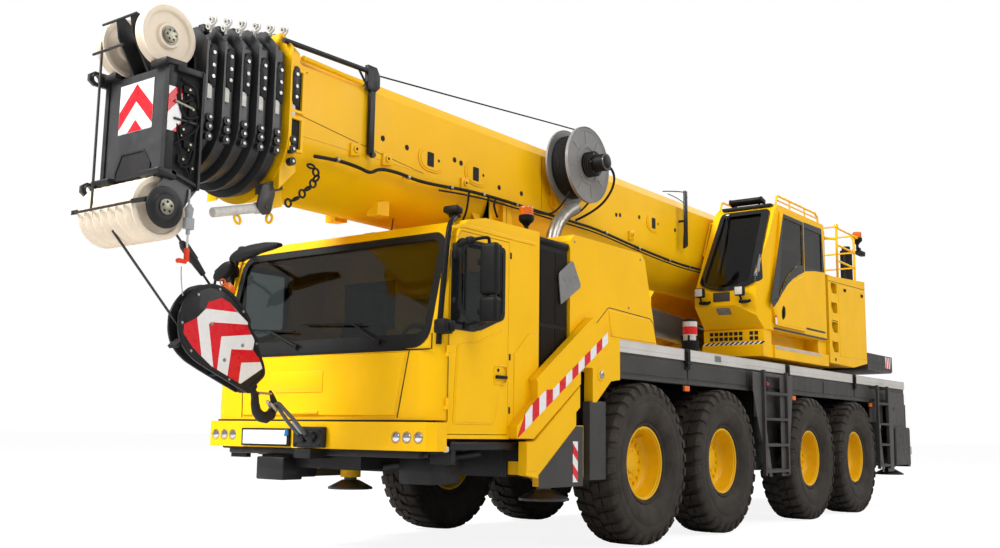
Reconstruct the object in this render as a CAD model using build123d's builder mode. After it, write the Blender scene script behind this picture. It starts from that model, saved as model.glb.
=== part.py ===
from build123d import *
from math import asin, atan2, cos, degrees, hypot, radians, sin
import os

# Four-axle all-terrain mobile crane, millimetres.
# x is to the machine's left, -y is forward, z is up from the ground.
# A "station" is a distance rearward from the first axle; at() turns it into y.

os.makedirs("parts", exist_ok=True)

running = 0.3          # gap between seated pieces that turn or slide on each other
bearing_gap = 0.05     # radial gap of a shaft in its bore
body_gap = 5           # gap round a door or a part that moves past another

# --- chassis -------------------------------------------------------------------------
axle_stations = (0, 1650, 4100, 5750)
tyre_radius = 735      # also the height of the axles
tyre_width = 445
tyre_outer_x = 1375    # outer face of the tyres, half the overall width on the road
kingpin_x = 985
flange_radius = 335    # rim flange
bead_radius = 322
rim_half = 143

frame_half = 450       # box frame between the wheels
frame_bottom = 1010
frame_top = 1500
frame_wall = 16
frame_front = -1640
frame_rear = 8150
deck_half = 1270
deck_top = 1840
deck_thick = 40
deck_band = 110        # height of the pale edge band
deck_front = -400
deck_rear = 8210
panel_bottom = 1490    # lower edge of the grey side panels
bar_rear = 8490        # rear face of the rear light bar
rib_thick = 16
cross_stations = (-330, 825, 2420, 3250, 4925, 6600, 7400, 8130)
ladder_stations = ((2600, 3300), (6600, 7100))
ladder_x = 1330

# --- outriggers ----------------------------------------------------------------------
beam_width = 270
beam_height = 290
box_wall = 20
tunnel_pitch = 320     # between the two beams of one pair
box_half = 990
box_bottom = 640
outrigger_stations = {"front": -1400, "rear": 7770}
jack_x = 1110
jack_shift = 40        # the jack stands this far behind its pair's middle
jack_radius = 95
leg_radius = 60
jack_bottom = 560
jack_top = 1190
float_radius = 210
float_bottom = 450
cover_x = 1262         # inner face of the covers on the beam ends
cover_outer = 1335

# --- front cab -----------------------------------------------------------------------
cab_half = 1250
cab_front = -2905
cab_rear = -1650
cab_floor = 945
cab_roof = 2630
cab_wall = 30
cab_corner = 190       # plan radius of the front corners
door_front = -2785
door_rear = -2065
door_sill = 975
door_head = 2480
hinge_x = 1250
hinge_station = -2795
hinge_heights = (1180, 1560)

# --- superstructure ------------------------------------------------------------------
slew_station = 4150
ring_radius = 780
ring_height = 30
tail_radius = 3720
turntable_bottom = 1895
turntable_top = 1960
cheek_half = 425       # inner faces of the boom's side plates
cheek_thick = 40
upper_cab_in = 470
upper_cab_out = 1255
upper_cab_bottom = 2230
upper_cab_roof = 3780
upper_wall = 35

# --- boom ----------------------------------------------------------------------------
pivot_station = 6300
pivot_height = 3150
boom_half = 410
boom_top = 3800
boom_axis = 3130       # centre of the round underside
boom_chamfer = 130
section_step = 26      # each section is this much smaller all round
section_wall = 8
section_count = 6
boom_front = -3720     # front face of the base section's collar
boom_rear = 6750
collar_pitch = 128
collar_length = 100
collar_height = 55
shoe_length = 120
tail_stagger = 90
section_rear = 6050    # rear end of the first sliding section
pivot_pin = 70

lift_foot = (4300, 2200)   # station and height of the lift cylinder's foot pin
lift_eye = (750, 2460)     # and of its rod eye
barrel_radius = 165
barrel_bore = 140
rod_radius = 122
eye_half = 125

# --- boom head and hook --------------------------------------------------------------
head_half = 350
head_front = -4640
head_top = 3370
sheave_radius = 210
sheave_groove = 26
low_sheave = (-4620, 2410)
top_sheave = (-4600, 3600)
hook_tilt = 44             # the block is tied back towards the bumper
hook_reach = 1090          # from the lower sheaves' axle to the block's middle
block_sheave = 190
block_gap = 90             # between the hook block's cheeks
rope_radius = 9
rope_notch = 120

# --- cable reel, hoist ---------------------------------------------------------------
reel_centre = (-100, 3600)
reel_radius = 375
hoist_centre = (7400, 2760)
drum_radius = 240
drum_flange = 310

nose_station = low_sheave[0] - sheave_radius
y_shift = -(nose_station + bar_rear) / 2


def at(station):
    return station + y_shift


def save(builder, name):
    builder.part.label = name
    export_step(builder.part, f"parts/{name}.step")


def block(x_span, s_span, z_span, mode=Mode.ADD):
    # a box between two x values, two stations and two heights
    centre = [(low + high) / 2 for low, high in (x_span, s_span, z_span)]
    with Locations((centre[0], at(centre[1]), centre[2])):
        Box(x_span[1] - x_span[0], s_span[1] - s_span[0], z_span[1] - z_span[0], mode=mode)


def side_outline(points, x_low, x_high, mode=Mode.ADD, inset=0, round_by=0):
    # (station, height) points seen from the side, thick between two x values
    with BuildSketch(Plane.YZ.offset(x_low)) as profile:
        with BuildLine():
            Polyline(*[(at(s), z) for s, z in points], close=True)
        make_face()
        if round_by:
            fillet(profile.vertices(), radius=round_by)
        if inset:
            offset(amount=-inset, kind=Kind.INTERSECTION, mode=Mode.REPLACE)
    extrude(profile.sketch, amount=x_high - x_low, mode=mode)


def shaft_x(x_low, x_high, place, radius, mode=Mode.ADD):
    # a round bar across the machine at a (station, height) place
    with Locations(Location(((x_low + x_high) / 2, at(place[0]), place[1]), (0, 90, 0))):
        Cylinder(radius, x_high - x_low, mode=mode)


def post(x, station, z_low, z_high, radius, mode=Mode.ADD):
    with Locations((x, at(station), (z_low + z_high) / 2)):
        Cylinder(radius, z_high - z_low, mode=mode)


ring_top = turntable_bottom - ring_height

# --- carrier frame: box beam, ribs under the deck, slewing tower and rear light bar -----
with BuildPart() as frame:
    block((-frame_half, frame_half), (frame_front, frame_rear), (frame_bottom, frame_top))
    block((frame_wall - frame_half, frame_half - frame_wall),
          (frame_front + frame_wall, frame_rear - frame_wall),
          (frame_bottom + frame_wall, frame_top - frame_wall), mode=Mode.SUBTRACT)
    block((-700, 700), (slew_station - 800, slew_station + 800), (frame_top, deck_top - deck_thick))
    for station in cross_stations:
        with BuildSketch(Plane.XZ.offset(-at(station + rib_thick / 2))) as rib:
            with BuildLine():
                Polyline((frame_half, 1330), (1200, 1620), (1200, deck_top - deck_thick),
                         (frame_half, deck_top - deck_thick), close=True)
            make_face()
            mirror(about=Plane.YZ)
        extrude(amount=rib_thick)
    # front subframe that carries the cab and the bumper
    subframe_rear = outrigger_stations["front"] - tunnel_pitch - running
    block((-420, 420), (-2800, subframe_rear), (700, cab_floor))
    side_outline([(-1990, 930), (subframe_rear - 5, 930), (subframe_rear - 5, frame_bottom + body_gap),
                  (frame_front + 10, frame_bottom + body_gap), (frame_front + 10, 1120), (-1790, 1120)],
                  -420, 420)
    # tow jaw in the middle of the front, with its pin hole
    block((-90, 90), (-3015, -2800), (780, 850))
    post(0, -2978, 780, 860, 20, mode=Mode.SUBTRACT)
    # arms and light bar at the rear
    for x in (-410, 410):
        block((x - 30, x + 30), (8095, 8350), (560, frame_bottom + 60))
    block((-1240, 1240), (8350, bar_rear), (560, 700))
    # fixed race of the slewing ring on its tower
    post(0, slew_station, deck_top - deck_thick, ring_top, ring_radius)
save(frame, "carrier_frame")

# --- deck with its pale edge band ------------------------------------------------------
with BuildPart() as deck:
    plate_front = 345
    block((-deck_half + 12, deck_half - 12), (plate_front, deck_rear - 12), (deck_top - deck_thick, deck_top))
    for side in (-1, 1):
        block(sorted((side * 1150, side * (deck_half - 12))), (deck_front, plate_front),
              (deck_top - deck_thick, deck_top))
        block(sorted((side * (deck_half - 12), side * deck_half)), (deck_front, deck_rear),
              (deck_top - deck_band, deck_top))
    block((-deck_half, deck_half), (deck_rear - 12, deck_rear), (deck_top - deck_band, deck_top))
    post(0, slew_station, deck_top - deck_thick, deck_top, ring_radius + 20, mode=Mode.SUBTRACT)
save(deck, "deck")


# --- grey side panels, corner covers and ladders -------------------------------------------
with BuildPart() as panels:
    for side in (-1, 1):
        face = sorted((side * (deck_half - 24), side * (deck_half - 12)))
        rail = sorted((side * ladder_x, side * (ladder_x + 40)))
        hanger = sorted((side * (deck_half - 13), side * (ladder_x + 1)))
        block(face, (deck_front, deck_rear - 12), (panel_bottom, deck_top - deck_thick))
        # end panels over the rear outriggers
        block(face, (7430, deck_rear - 12), (1210, panel_bottom))
        # return flange along the lower edge
        block(sorted((side * (deck_half - 70), side * (deck_half - 12))), (deck_front, deck_rear - 12),
              (panel_bottom, panel_bottom + 6))
        for front, rear in ladder_stations:
            for stile in (front, rear - 40):
                block(rail, (stile, stile + 40), (560, deck_top - deck_band))
                block(hanger, (stile, stile + 40), (1500, 1540))
                block(hanger, (stile, stile + 40), (deck_top - deck_band - 50, deck_top - deck_band - 10))
            for step in range(4):
                height = 590 + 290 * step
                block(rail, (front + 40, rear - 40), (height, height + 30))
            block(face, (front - 40, rear + 40), (1210, panel_bottom))
    block((12 - deck_half, deck_half - 12), (deck_rear - 24, deck_rear - 12), (1210, deck_top - deck_thick))
save(panels, "side_panels")

# --- outrigger boxes under the frame, two tunnels in each ----------------------------------
tunnel_floor = box_bottom + box_wall
tunnel_width = beam_width + 2 * body_gap
with BuildPart() as outrigger_boxes:
    for middle in outrigger_stations.values():
        block((-box_half, box_half), (middle - tunnel_pitch, middle + tunnel_pitch),
              (box_bottom, frame_bottom))
        for tunnel in (middle - tunnel_pitch / 2, middle + tunnel_pitch / 2):
            block((-box_half, box_half), (tunnel - tunnel_width / 2, tunnel + tunnel_width / 2),
                  (tunnel_floor, tunnel_floor + beam_height + body_gap), mode=Mode.SUBTRACT)
save(outrigger_boxes, "outrigger_boxes")

# --- outrigger beams with jack housings and covers, and the jacks -----------------------
front_cover = [(-1930, 670), (-1930, 925), (-1820, 930), (-1160, 1385), (-1160, 1210), (-1220, 1170),
               (-1220, 1060), (-1110, 1060), (-1110, 640), (-1740, 640)]
rear_cover = [(7440, 600), (7440, 1130), (8180, 1130), (8180, 600)]


def outrigger_beam(pair, tunnel_side, cover):
    # the left-hand beam of a pair, in the tunnel on the given side of the pair's middle
    middle = outrigger_stations[pair]
    tunnel = middle + tunnel_side * tunnel_pitch / 2
    jack_station = middle + jack_shift
    floor = tunnel_floor + running
    with BuildPart() as beam:
        block((-box_half + 60, jack_x), (tunnel - beam_width / 2, tunnel + beam_width / 2),
              (floor, floor + beam_height))
        block((-box_half + 60, box_half), (tunnel - beam_width / 2 + 12, tunnel + beam_width / 2 - 12),
              (floor + 12, floor + beam_height - 12), mode=Mode.SUBTRACT)
        block((box_half + body_gap, cover_x), (jack_station - 140, jack_station + 140), (650, 950))
        post(jack_x, jack_station, jack_bottom, jack_top, jack_radius)
        side_outline(cover, cover_x, cover_outer)
        side_outline(cover, cover_x, cover_outer - 8, mode=Mode.SUBTRACT, inset=8)
        block((cover_x, cover_outer - 4), (jack_station - 140, jack_station + 140), (700, 930))
        post(jack_x, jack_station, jack_bottom, jack_top - 15, leg_radius + bearing_gap, mode=Mode.SUBTRACT)
    return beam.part


def outrigger_jack(pair):
    jack_station = outrigger_stations[pair] + jack_shift
    with BuildPart() as jack:
        post(jack_x, jack_station, float_bottom + 60, jack_top - 25, leg_radius)
        with BuildSketch(Plane.XZ.offset(-at(jack_station))):
            with BuildLine():
                Polyline((jack_x, float_bottom), (jack_x + float_radius, float_bottom),
                         (jack_x + float_radius, float_bottom + 18), (jack_x + 80, float_bottom + 85),
                         (jack_x, float_bottom + 85), close=True)
            make_face()
        revolve(axis=Axis((jack_x, at(jack_station), 0), (0, 0, 1)))
    return jack.part


for pair, cover in (("front", front_cover), ("rear", rear_cover)):
    left_beam = outrigger_beam(pair, -1, cover)
    right_beam = outrigger_beam(pair, 1, cover)
    for side, shape, kind in (("left", left_beam, "beam"), ("right", right_beam, "beam"),
                              ("left", outrigger_jack(pair), "jack"),
                              ("right", outrigger_jack(pair), "jack")):
        with BuildPart() as piece:
            if side == "left":
                add(shape)
            else:
                mirror(shape, about=Plane.YZ)
        save(piece, f"outrigger_{kind}_{pair}_{side}")

# --- axles, steering knuckles and wheels ---------------------------------------------------
ear_half = 125         # height of the axle's kingpin ears above and below the axle
knuckle_half = 92
kingpin_radius = 30
with BuildPart() as axles:
    for station in axle_stations:
        shaft_x(-kingpin_x + 90, kingpin_x - 90, (station, tyre_radius), 75)
        shaft_x(-70, 70, (station, tyre_radius), 190)
        shaft_x(-150, 150, (station, tyre_radius), 140)
        block((-110, 110), (station - 60, station + 60), (tyre_radius + 100, frame_bottom))
        for side in (-1, 1):
            x = side * kingpin_x
            post(x, station, tyre_radius - ear_half, tyre_radius + ear_half, 60)
            block(sorted((side * (kingpin_x - 140), x)), (station - 50, station + 50),
                  (tyre_radius - ear_half, tyre_radius + ear_half))
            block(sorted((side * (kingpin_x - 72), side * (kingpin_x + 70))), (station - 72, station + 72),
                  (tyre_radius - knuckle_half - running, tyre_radius + knuckle_half + running),
                  mode=Mode.SUBTRACT)
            post(x, station, tyre_radius - ear_half, tyre_radius + ear_half, kingpin_radius + bearing_gap,
                 mode=Mode.SUBTRACT)
save(axles, "axle_beams")

wheel_x = tyre_outer_x - tyre_width / 2    # middle plane of the wheels
disc_in = -45                              # wheel disc, outboard of the middle plane when positive
disc_out = -30


def knuckle_left():
    with BuildPart() as knuckle:
        post(kingpin_x, 0, tyre_radius - ear_half, tyre_radius + ear_half, kingpin_radius)
        post(kingpin_x, 0, tyre_radius - knuckle_half, tyre_radius + knuckle_half, 68)
        shaft_x(kingpin_x, wheel_x + disc_in - running, (0, tyre_radius), 62)
        shaft_x(wheel_x + disc_in - 30, wheel_x + disc_in - running, (0, tyre_radius), 120)
        # steering arm and its ball end
        block((kingpin_x - 20, kingpin_x + 20), (40, 210), (tyre_radius - 80, tyre_radius - 50))
        post(kingpin_x, 210, tyre_radius - 95, tyre_radius - 35, 28)
    return knuckle.part


def wheel_left():
    # rim with a deep bowl, and the tyre on it
    rim_outline = [(-rim_half, flange_radius), (12 - rim_half, flange_radius), (12 - rim_half, bead_radius),
                   (rim_half - 12, bead_radius), (rim_half - 12, flange_radius), (rim_half, flange_radius),
                   (rim_half, 316), (15, 300), (disc_out + 6, 262), (disc_out, 205), (disc_out, 0),
                   (disc_in, 0), (disc_in, 215), (disc_in - 12, 298), (-rim_half, 312)]
    bead_x = rim_half - 12 - running
    seat = bead_radius + running
    crown = tyre_width / 2
    tyre_outline = [(-bead_x, seat), (bead_x, seat), (bead_x, flange_radius + running),
                    (rim_half + 10, flange_radius + running), (crown, 520), (crown - 12, 655),
                    (crown - 38, 716), (120, tyre_radius)]
    tyre_outline += [(-x, r) for x, r in reversed(tyre_outline[2:])]
    with BuildPart() as wheel:
        for outline in (rim_outline, tyre_outline):
            with BuildSketch(Plane.XZ):
                with BuildLine():
                    Polyline(*outline, close=True)
                make_face()
            revolve(axis=Axis.X)
    return wheel.part


knuckle_shape = knuckle_left()
wheel_shape = wheel_left()
for number, station in enumerate(axle_stations, 1):
    for side in ("left", "right"):
        for kind, shape, origin in (("knuckle", knuckle_shape, (0, station, 0)),
                                    ("wheel", wheel_shape, (wheel_x, at(station), tyre_radius))):
            with BuildPart() as piece:
                with Locations(origin):
                    add(shape)
                if side == "right":
                    mirror(about=Plane.YZ, mode=Mode.REPLACE)
            save(piece, f"{kind}_{number}_{side}")

# --- front cab -------------------------------------------------------------------------------
# side view: bumper recess at the foot, upright panel, leaning windscreen, cut-away rear corner
cab_outline = [(cab_front, 1075), (cab_front, 1610), (-2700, 2470), (-2590, 2575), (-2380, 2622),
               (cab_rear, cab_roof), (cab_rear, 1290), (-2050, cab_floor), (-2785, cab_floor), (-2785, 1075)]


def cab_form(inset):
    # the cab's outer body, drawn in from its skin by the inset
    with BuildPart() as form:
        with BuildSketch(Plane.YZ.offset(inset - cab_half)) as side_view:
            with BuildLine():
                Polyline(*[(at(s), z) for s, z in cab_outline], close=True)
            make_face()
            if inset:
                offset(amount=-inset, kind=Kind.INTERSECTION, mode=Mode.REPLACE)
        extrude(amount=2 * (cab_half - inset))
        front = at(cab_front + inset)
        half = cab_half - inset
        corner = cab_corner - inset
        with BuildSketch() as plan:
            with BuildLine():
                Polyline((-half, front + corner), (-half, at(cab_rear) + 50), (half, at(cab_rear) + 50),
                         (half, front + corner))
                ThreePointArc((half, front + corner),
                              (half - corner * (1 - cos(radians(45))),
                               front + corner * (1 - sin(radians(45)))),
                              (half - corner, front))
                Line((half - corner, front), (corner - half, front))
                ThreePointArc((corner - half, front),
                              (corner * (1 - cos(radians(45))) - half,
                               front + corner * (1 - sin(radians(45)))),
                              (-half, front + corner))
            make_face()
        extrude(amount=3000, mode=Mode.INTERSECT)
    return form.part


screen_half = 1120
screen_sill = 1650
screen_head = 2455
door_outline = [(door_front, door_sill), (door_front, door_head - 140), (door_front + 120, door_head),
                (door_rear, door_head), (door_rear, door_sill)]
door_window = [(door_front + 110, 1900), (door_front + 110, door_head - 190),
               (door_front + 190, door_head - 75),
               (door_rear - 75, door_head - 75), (door_rear - 75, 1880), (door_front + 330, 1760)]


def windscreen_opening(gap):
    with BuildPart() as opening:
        with BuildSketch(Plane.XZ.offset(-at(-2450))):
            with Locations((0, (screen_sill + screen_head) / 2)):
                RectangleRounded(2 * (screen_half - gap), screen_head - screen_sill - 2 * gap, 110)
        extrude(amount=700)
    return opening.part


def cab_rear_windows(gap):
    with BuildPart() as opening:
        for side in (-1, 1):
            block(sorted((side * (300 + gap), side * (950 - gap))), (cab_rear - 200, cab_rear + 20),
                  (1900 + gap, 2350 - gap))
    return opening.part


cab_skin = cab_form(0)
cab_hollow = cab_form(cab_wall)
with BuildPart() as cab_shell:
    add(cab_skin)
    add(cab_hollow, mode=Mode.SUBTRACT)
    add(windscreen_opening(0), mode=Mode.SUBTRACT)
    add(cab_rear_windows(0), mode=Mode.SUBTRACT)
    for x_low in (-cab_half - 60, cab_half - 120):
        side_outline(door_outline, x_low, x_low + 180, mode=Mode.SUBTRACT)
    # hinge brackets and pins of the doors
    for side in (-1, 1):
        for height in hinge_heights:
            block(sorted((side * 1215, side * (hinge_x + 8))), (hinge_station - 9, hinge_station + 7),
                  (height - 26, height))
            post(side * hinge_x, hinge_station, height - 20, height + 56, 6)
save(cab_shell, "cab_shell")

with BuildPart() as cab_glass:
    add(cab_form(12))
    add(cab_form(20), mode=Mode.SUBTRACT)
    with BuildPart(mode=Mode.PRIVATE) as panes:
        add(windscreen_opening(running))
        add(cab_rear_windows(running))
    add(panes.part, mode=Mode.INTERSECT)
save(cab_glass, "cab_glass")

with BuildPart() as cab_interior:
    side_outline([(-2720, 1250), (-2740, 1590), (-2560, 1620), (-2440, 1560), (-2470, 1250)],
                 -1150, 1150)
    block((-1000, 1000), (-2700, -2500), (cab_floor + cab_wall + running, 1250))
    for x in (-620, 620):
        side_outline([(-2250, 1240), (-2270, 1330), (-1930, 1300), (-1780, 1930), (-1700, 1930),
                      (-1830, 1240)],
                     x - 240, x + 240)
        block((x - 170, x + 170), (-2240, -2080), (cab_floor + cab_wall + running, 1240))
    # steering column and wheel
    with Locations(Location((620, at(-2420), 1600), (-55, 0, 0))):
        Cylinder(25, 200)
    with Locations(Location((620, at(-2340), 1656), (-55, 0, 0))):
        Cylinder(206, 26)
        Cylinder(178, 26, mode=Mode.SUBTRACT)
        Box(370, 40, 14)
        Cylinder(45, 60)
save(cab_interior, "cab_interior")


def cab_door_left():
    with BuildPart() as door:
        add(cab_skin)
        add(cab_hollow, mode=Mode.SUBTRACT)
        side_outline(door_outline, cab_half - 110, cab_half + 60, mode=Mode.INTERSECT, inset=body_gap)
        side_outline(door_window, cab_half - 110, cab_half + 60, mode=Mode.SUBTRACT)
        for height in hinge_heights:
            post(hinge_x, hinge_station, height + running, height + 54, 12)
            block((hinge_x - 11, hinge_x), (hinge_station, -2745), (height + running, height + 54))
            post(hinge_x, hinge_station, height, height + 60, 6 + bearing_gap, mode=Mode.SUBTRACT)
    return door.part


mirror_x = (1345, 1530)
mirror_s = (-2690, -2600)
with BuildPart() as mirror_left:
    for z_span in ((1990, 2370), (1790, 1975)):
        block(mirror_x, mirror_s, z_span)
    vertical = mirror_left.edges().filter_by(Axis.Z)
    fillet(vertical, radius=30)
    post(mirror_x[0] + 40, -2580, 1800, 2440, 14)
    block((mirror_x[0] + 26, mirror_x[0] + 54), (-2600, -2566), (1830, 1860))
    block((mirror_x[0] + 26, mirror_x[0] + 54), (-2600, -2566), (2300, 2330))
    block((cab_half + running, mirror_x[0] + 40), (-2594, -2566), (2412, 2440))

door_shape = cab_door_left()
for side in ("left", "right"):
    for name, shape in (("cab_door", door_shape), ("cab_mirror", mirror_left.part)):
        with BuildPart() as piece:
            if side == "left":
                add(shape)
            else:
                mirror(shape, about=Plane.YZ)
        save(piece, f"{name}_{side}")

# --- bumper -----------------------------------------------------------------------------------
with BuildPart() as bumper:
    with BuildSketch(Plane.XY.offset(855)):
        with BuildLine():
            Polyline((-1250, at(-2790)), (-1250, at(-2900)), (-1190, at(-2950)), (1190, at(-2950)),
                     (1250, at(-2900)), (1250, at(-2790)), close=True)
        make_face()
    extrude(amount=205)
    for side in (-1, 1):
        for lamp in (905, 1010, 1120):
            with Locations(Location((side * lamp, at(-2950), 950), (90, 0, 0))):
                Cylinder(38, 50, mode=Mode.SUBTRACT)
    block((-1180, 1180), (-2910, -2780), (870, 1045), mode=Mode.SUBTRACT)
    block((-430, 430), (-2800, -2780), (850, 1070), mode=Mode.SUBTRACT)
    block((-420, 420), (-2911, -2800 - running), (855, 1060))
save(bumper, "bumper")

# --- air box, engine and engine cover ------------------------------------------------------
with BuildPart() as air_box:
    for side in (-1, 1):
        block(sorted((side * (frame_half + running), side * 1235)), (-1635, -1200), (1290, 2595))
    fillet(air_box.edges().filter_by(Axis.Z), radius=25)
save(air_box, "air_box")

with BuildPart() as engine:
    block((-380, 380), (-950, 60), (frame_top, 2420))
    block((-250, 250), (-1100, -950), (frame_top, 2250))
save(engine, "engine_block")

cover_seat = deck_top + running
cover_outline = [(-1190, 1520), (-1190, 2630), (-1130, 2690), (40, 2690), (110, 2630), (335, cover_seat),
                 (-505, cover_seat), (-505, 1520)]
wing_outline = [(-2055, 950), (-1830, 950), (-1150, 1405), (-1150, 1550), (-960, 1550), (-960, 1260),
                (-900, 1260), (-660, 1450), (-505, 1470), (-505, 1840), (-750, 1840), (-930, 1960),
                (-1780, 1395), (-1780, 1250), (-2055, 1046)]
with BuildPart() as engine_cover:
    side_outline(cover_outline, -cab_half, cab_half)
    side_outline(cover_outline, 25 - cab_half, cab_half - 25, mode=Mode.SUBTRACT, inset=25)
    # open underneath, and open in front between the air boxes
    block((25 - cab_half, cab_half - 25), (-1165, 300), (1400, cover_seat + 26), mode=Mode.SUBTRACT)
    block((-440, 440), (-1200, -1150), (1400, 2450), mode=Mode.SUBTRACT)
    for side in (-1, 1):
        side_outline(wing_outline, *sorted((side * (cab_half - 1), side * cover_outer)))
        side_outline(wing_outline, *sorted((side * (cab_half + 12), side * (cover_outer - 12))),
                     mode=Mode.SUBTRACT, inset=12)
        # clear of the cab's side
        block(sorted((side * (cab_half - 5), side * (cab_half + running))), (-2100, -1195), (900, 2000),
              mode=Mode.SUBTRACT)
        # post behind the outrigger's cover
        block(sorted((side * cover_x, side * (cover_outer - 5))), (-1000, -748), (612, 1262))
save(engine_cover, "engine_cover")

# --- turntable: base, boom side plates, lift cylinder clevis, cab platform -----------------
plate_outer = cheek_half + cheek_thick
cheek_outline = [(3650, turntable_top), (6450, turntable_top), (6450, 2360), (7700, 2360), (7760, 2900),
                 (7250, 2960), (6780, 3400), (6060, 3420), (5400, 2860), (4750, 2330), (3650, 2130)]
with BuildPart() as turntable:
    post(0, slew_station, ring_top + running, turntable_bottom, ring_radius - 20)
    block((-plate_outer, plate_outer), (3350, 6450), (turntable_bottom, turntable_top))
    for side in (-1, 1):
        x_span = sorted((side * cheek_half, side * plate_outer))
        side_outline(cheek_outline, *x_span)
        shaft_x(*sorted((side * cheek_half, side * (plate_outer + 25))), (pivot_station, pivot_height), 150)
        # clevis ears of the lift cylinder's foot
        ear = sorted((side * (eye_half + body_gap), side * (eye_half + 50)))
        side_outline([(lift_foot[0] - 190, turntable_top), (lift_foot[0] + 190, turntable_top),
                      (lift_foot[0] + 90, lift_foot[1] + 90), (lift_foot[0] - 90, lift_foot[1] + 90)], *ear)
        # cross plates between the ears and the side plates
        block(sorted((side * (eye_half + 50), side * cheek_half)), (lift_foot[0] - 15, lift_foot[0] + 15),
              (turntable_top, lift_foot[1]))
    block((-cheek_half, cheek_half), (6300, 6330), (turntable_top, 2330))
    # cab platform at the left with its step, and a lower one for the cabinet at the right
    block((plate_outer, 1225), (2960, 4990), (turntable_bottom + 15, upper_cab_bottom))
    block((1040, 1300), (3180, 4700), (2010, upper_cab_bottom + 10), mode=Mode.SUBTRACT)
    shaft_x(-plate_outer - 30, plate_outer + 30, (pivot_station, pivot_height), pivot_pin + bearing_gap,
            mode=Mode.SUBTRACT)
    shaft_x(-eye_half - 60, eye_half + 60, lift_foot, 55 + bearing_gap, mode=Mode.SUBTRACT)
    shaft_x(-plate_outer, plate_outer, hoist_centre, 60 + bearing_gap, mode=Mode.SUBTRACT)
save(turntable, "turntable")

with BuildPart() as counterweight:
    block((-deck_half, deck_half), (6520, 8000), (1950, 2190))
    block((-720, 720), (6560, 7900), (2190, 2359.7))
    post(0, slew_station, 1900, 2400, tail_radius, mode=Mode.INTERSECT)
    chamfer(counterweight.edges().group_by(Axis.Z)[0], length=20)
save(counterweight, "counterweight")

# --- machine cabinets: the tall one at the left has a ladder of pocket steps -----------------
cabinet_wall = 14
pocket_front = 5110        # front edge of the step pockets
pocket_back = 1130         # how far in they reach
tall_outline = [(5010, 1960), (5940, 1945), (6500, 2030), (6500, 3200), (5010, 3110)]
low_outline = [(3350, 1960), (6500, 1960), (6500, 2780), (6300, 2900), (3500, 2900), (3350, 2750)]
with BuildPart() as cabinets:
    side_outline(tall_outline, 700, deck_half)
    side_outline(tall_outline, 700 + cabinet_wall, deck_half - cabinet_wall, mode=Mode.SUBTRACT,
                 inset=cabinet_wall)
    for step in range(4):
        height = 2110 + 262 * step
        block((pocket_back - cabinet_wall, deck_half - 1),
              (pocket_front - cabinet_wall, pocket_front + 200 + cabinet_wall),
              (height - cabinet_wall, height + 135 + cabinet_wall))
        block((pocket_back, 1300), (pocket_front, pocket_front + 200), (height, height + 135),
              mode=Mode.SUBTRACT)
    block((plate_outer, 701), (5200, 6300), (1960, 2560))
    block((plate_outer + cabinet_wall, 701 - cabinet_wall), (5200 + cabinet_wall, 6300 - cabinet_wall),
          (1960 + cabinet_wall, 2560 - cabinet_wall), mode=Mode.SUBTRACT)
    side_outline(low_outline, -1230, -plate_outer)
    side_outline(low_outline, cabinet_wall - 1230, -plate_outer - cabinet_wall, mode=Mode.SUBTRACT,
                 inset=cabinet_wall)
save(cabinets, "machine_cabinets")

# --- upper cab: leaning windscreen, sharp nose, curved waistline -------------------------------
upper_outline = [(2990, upper_cab_bottom), (2715, 2500), (2700, 2620), (3300, 3700), (3400, upper_cab_roof),
                 (4930, upper_cab_roof), (4960, 3740), (4960, upper_cab_bottom)]


def upper_form(inset):
    with BuildPart() as form:
        with BuildSketch(Plane.YZ.offset(upper_cab_in + inset)):
            with BuildLine():
                Polyline(*[(at(s), z) for s, z in upper_outline], close=True)
            make_face()
            if inset:
                offset(amount=-inset, kind=Kind.INTERSECTION, mode=Mode.REPLACE)
        extrude(amount=upper_cab_out - upper_cab_in - 2 * inset)
        with BuildSketch():
            with BuildLine():
                Polyline((upper_cab_in, at(2720)), (980, at(2720)), (1190, at(2840)),
                         (upper_cab_out, at(3120)),
                         (upper_cab_out, at(5000)), (upper_cab_in, at(5000)), close=True)
            make_face()
            if inset:
                offset(amount=-inset, kind=Kind.INTERSECTION, mode=Mode.REPLACE)
        extrude(amount=4000, mode=Mode.INTERSECT)
    return form.part


upper_door = [(3230, 2290), (3110, 2520), (3420, 3700), (4140, 3700), (4140, 2290)]
upper_door_window = [(3240, 2560), (3480, 3640), (4090, 3640), (4090, 3110), (3900, 3090), (3600, 2930),
                     (3400, 2730)]
rear_window = [(4220, 3110), (4220, 3650), (4860, 3650), (4860, 3130)]


def upper_windows(gap):
    with BuildPart() as opening:
        # windscreen with a dipped lower edge
        with BuildSketch(Plane.XZ.offset(-at(3700))):
            with BuildLine():
                Polyline((540 + gap, 2790 + gap), (600 + gap, 3690 - gap), (1130 - gap, 3690 - gap),
                         (1165 - gap, 2790 + gap))
                ThreePointArc((1165 - gap, 2790 + gap), (850, 2690 + gap), (540 + gap, 2790 + gap))
            make_face()
        extrude(amount=1100)
        side_outline(rear_window, upper_cab_out - 60, upper_cab_out + 20, inset=gap)
        side_outline([(3500, 2950), (3650, 3640), (4860, 3640), (4860, 2950)], upper_cab_in - 20,
                     upper_cab_in + 60, inset=gap)
        block((640 + gap, 1120 - gap), (4900, 5000), (2950 + gap, 3640 - gap))
    return opening.part


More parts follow.
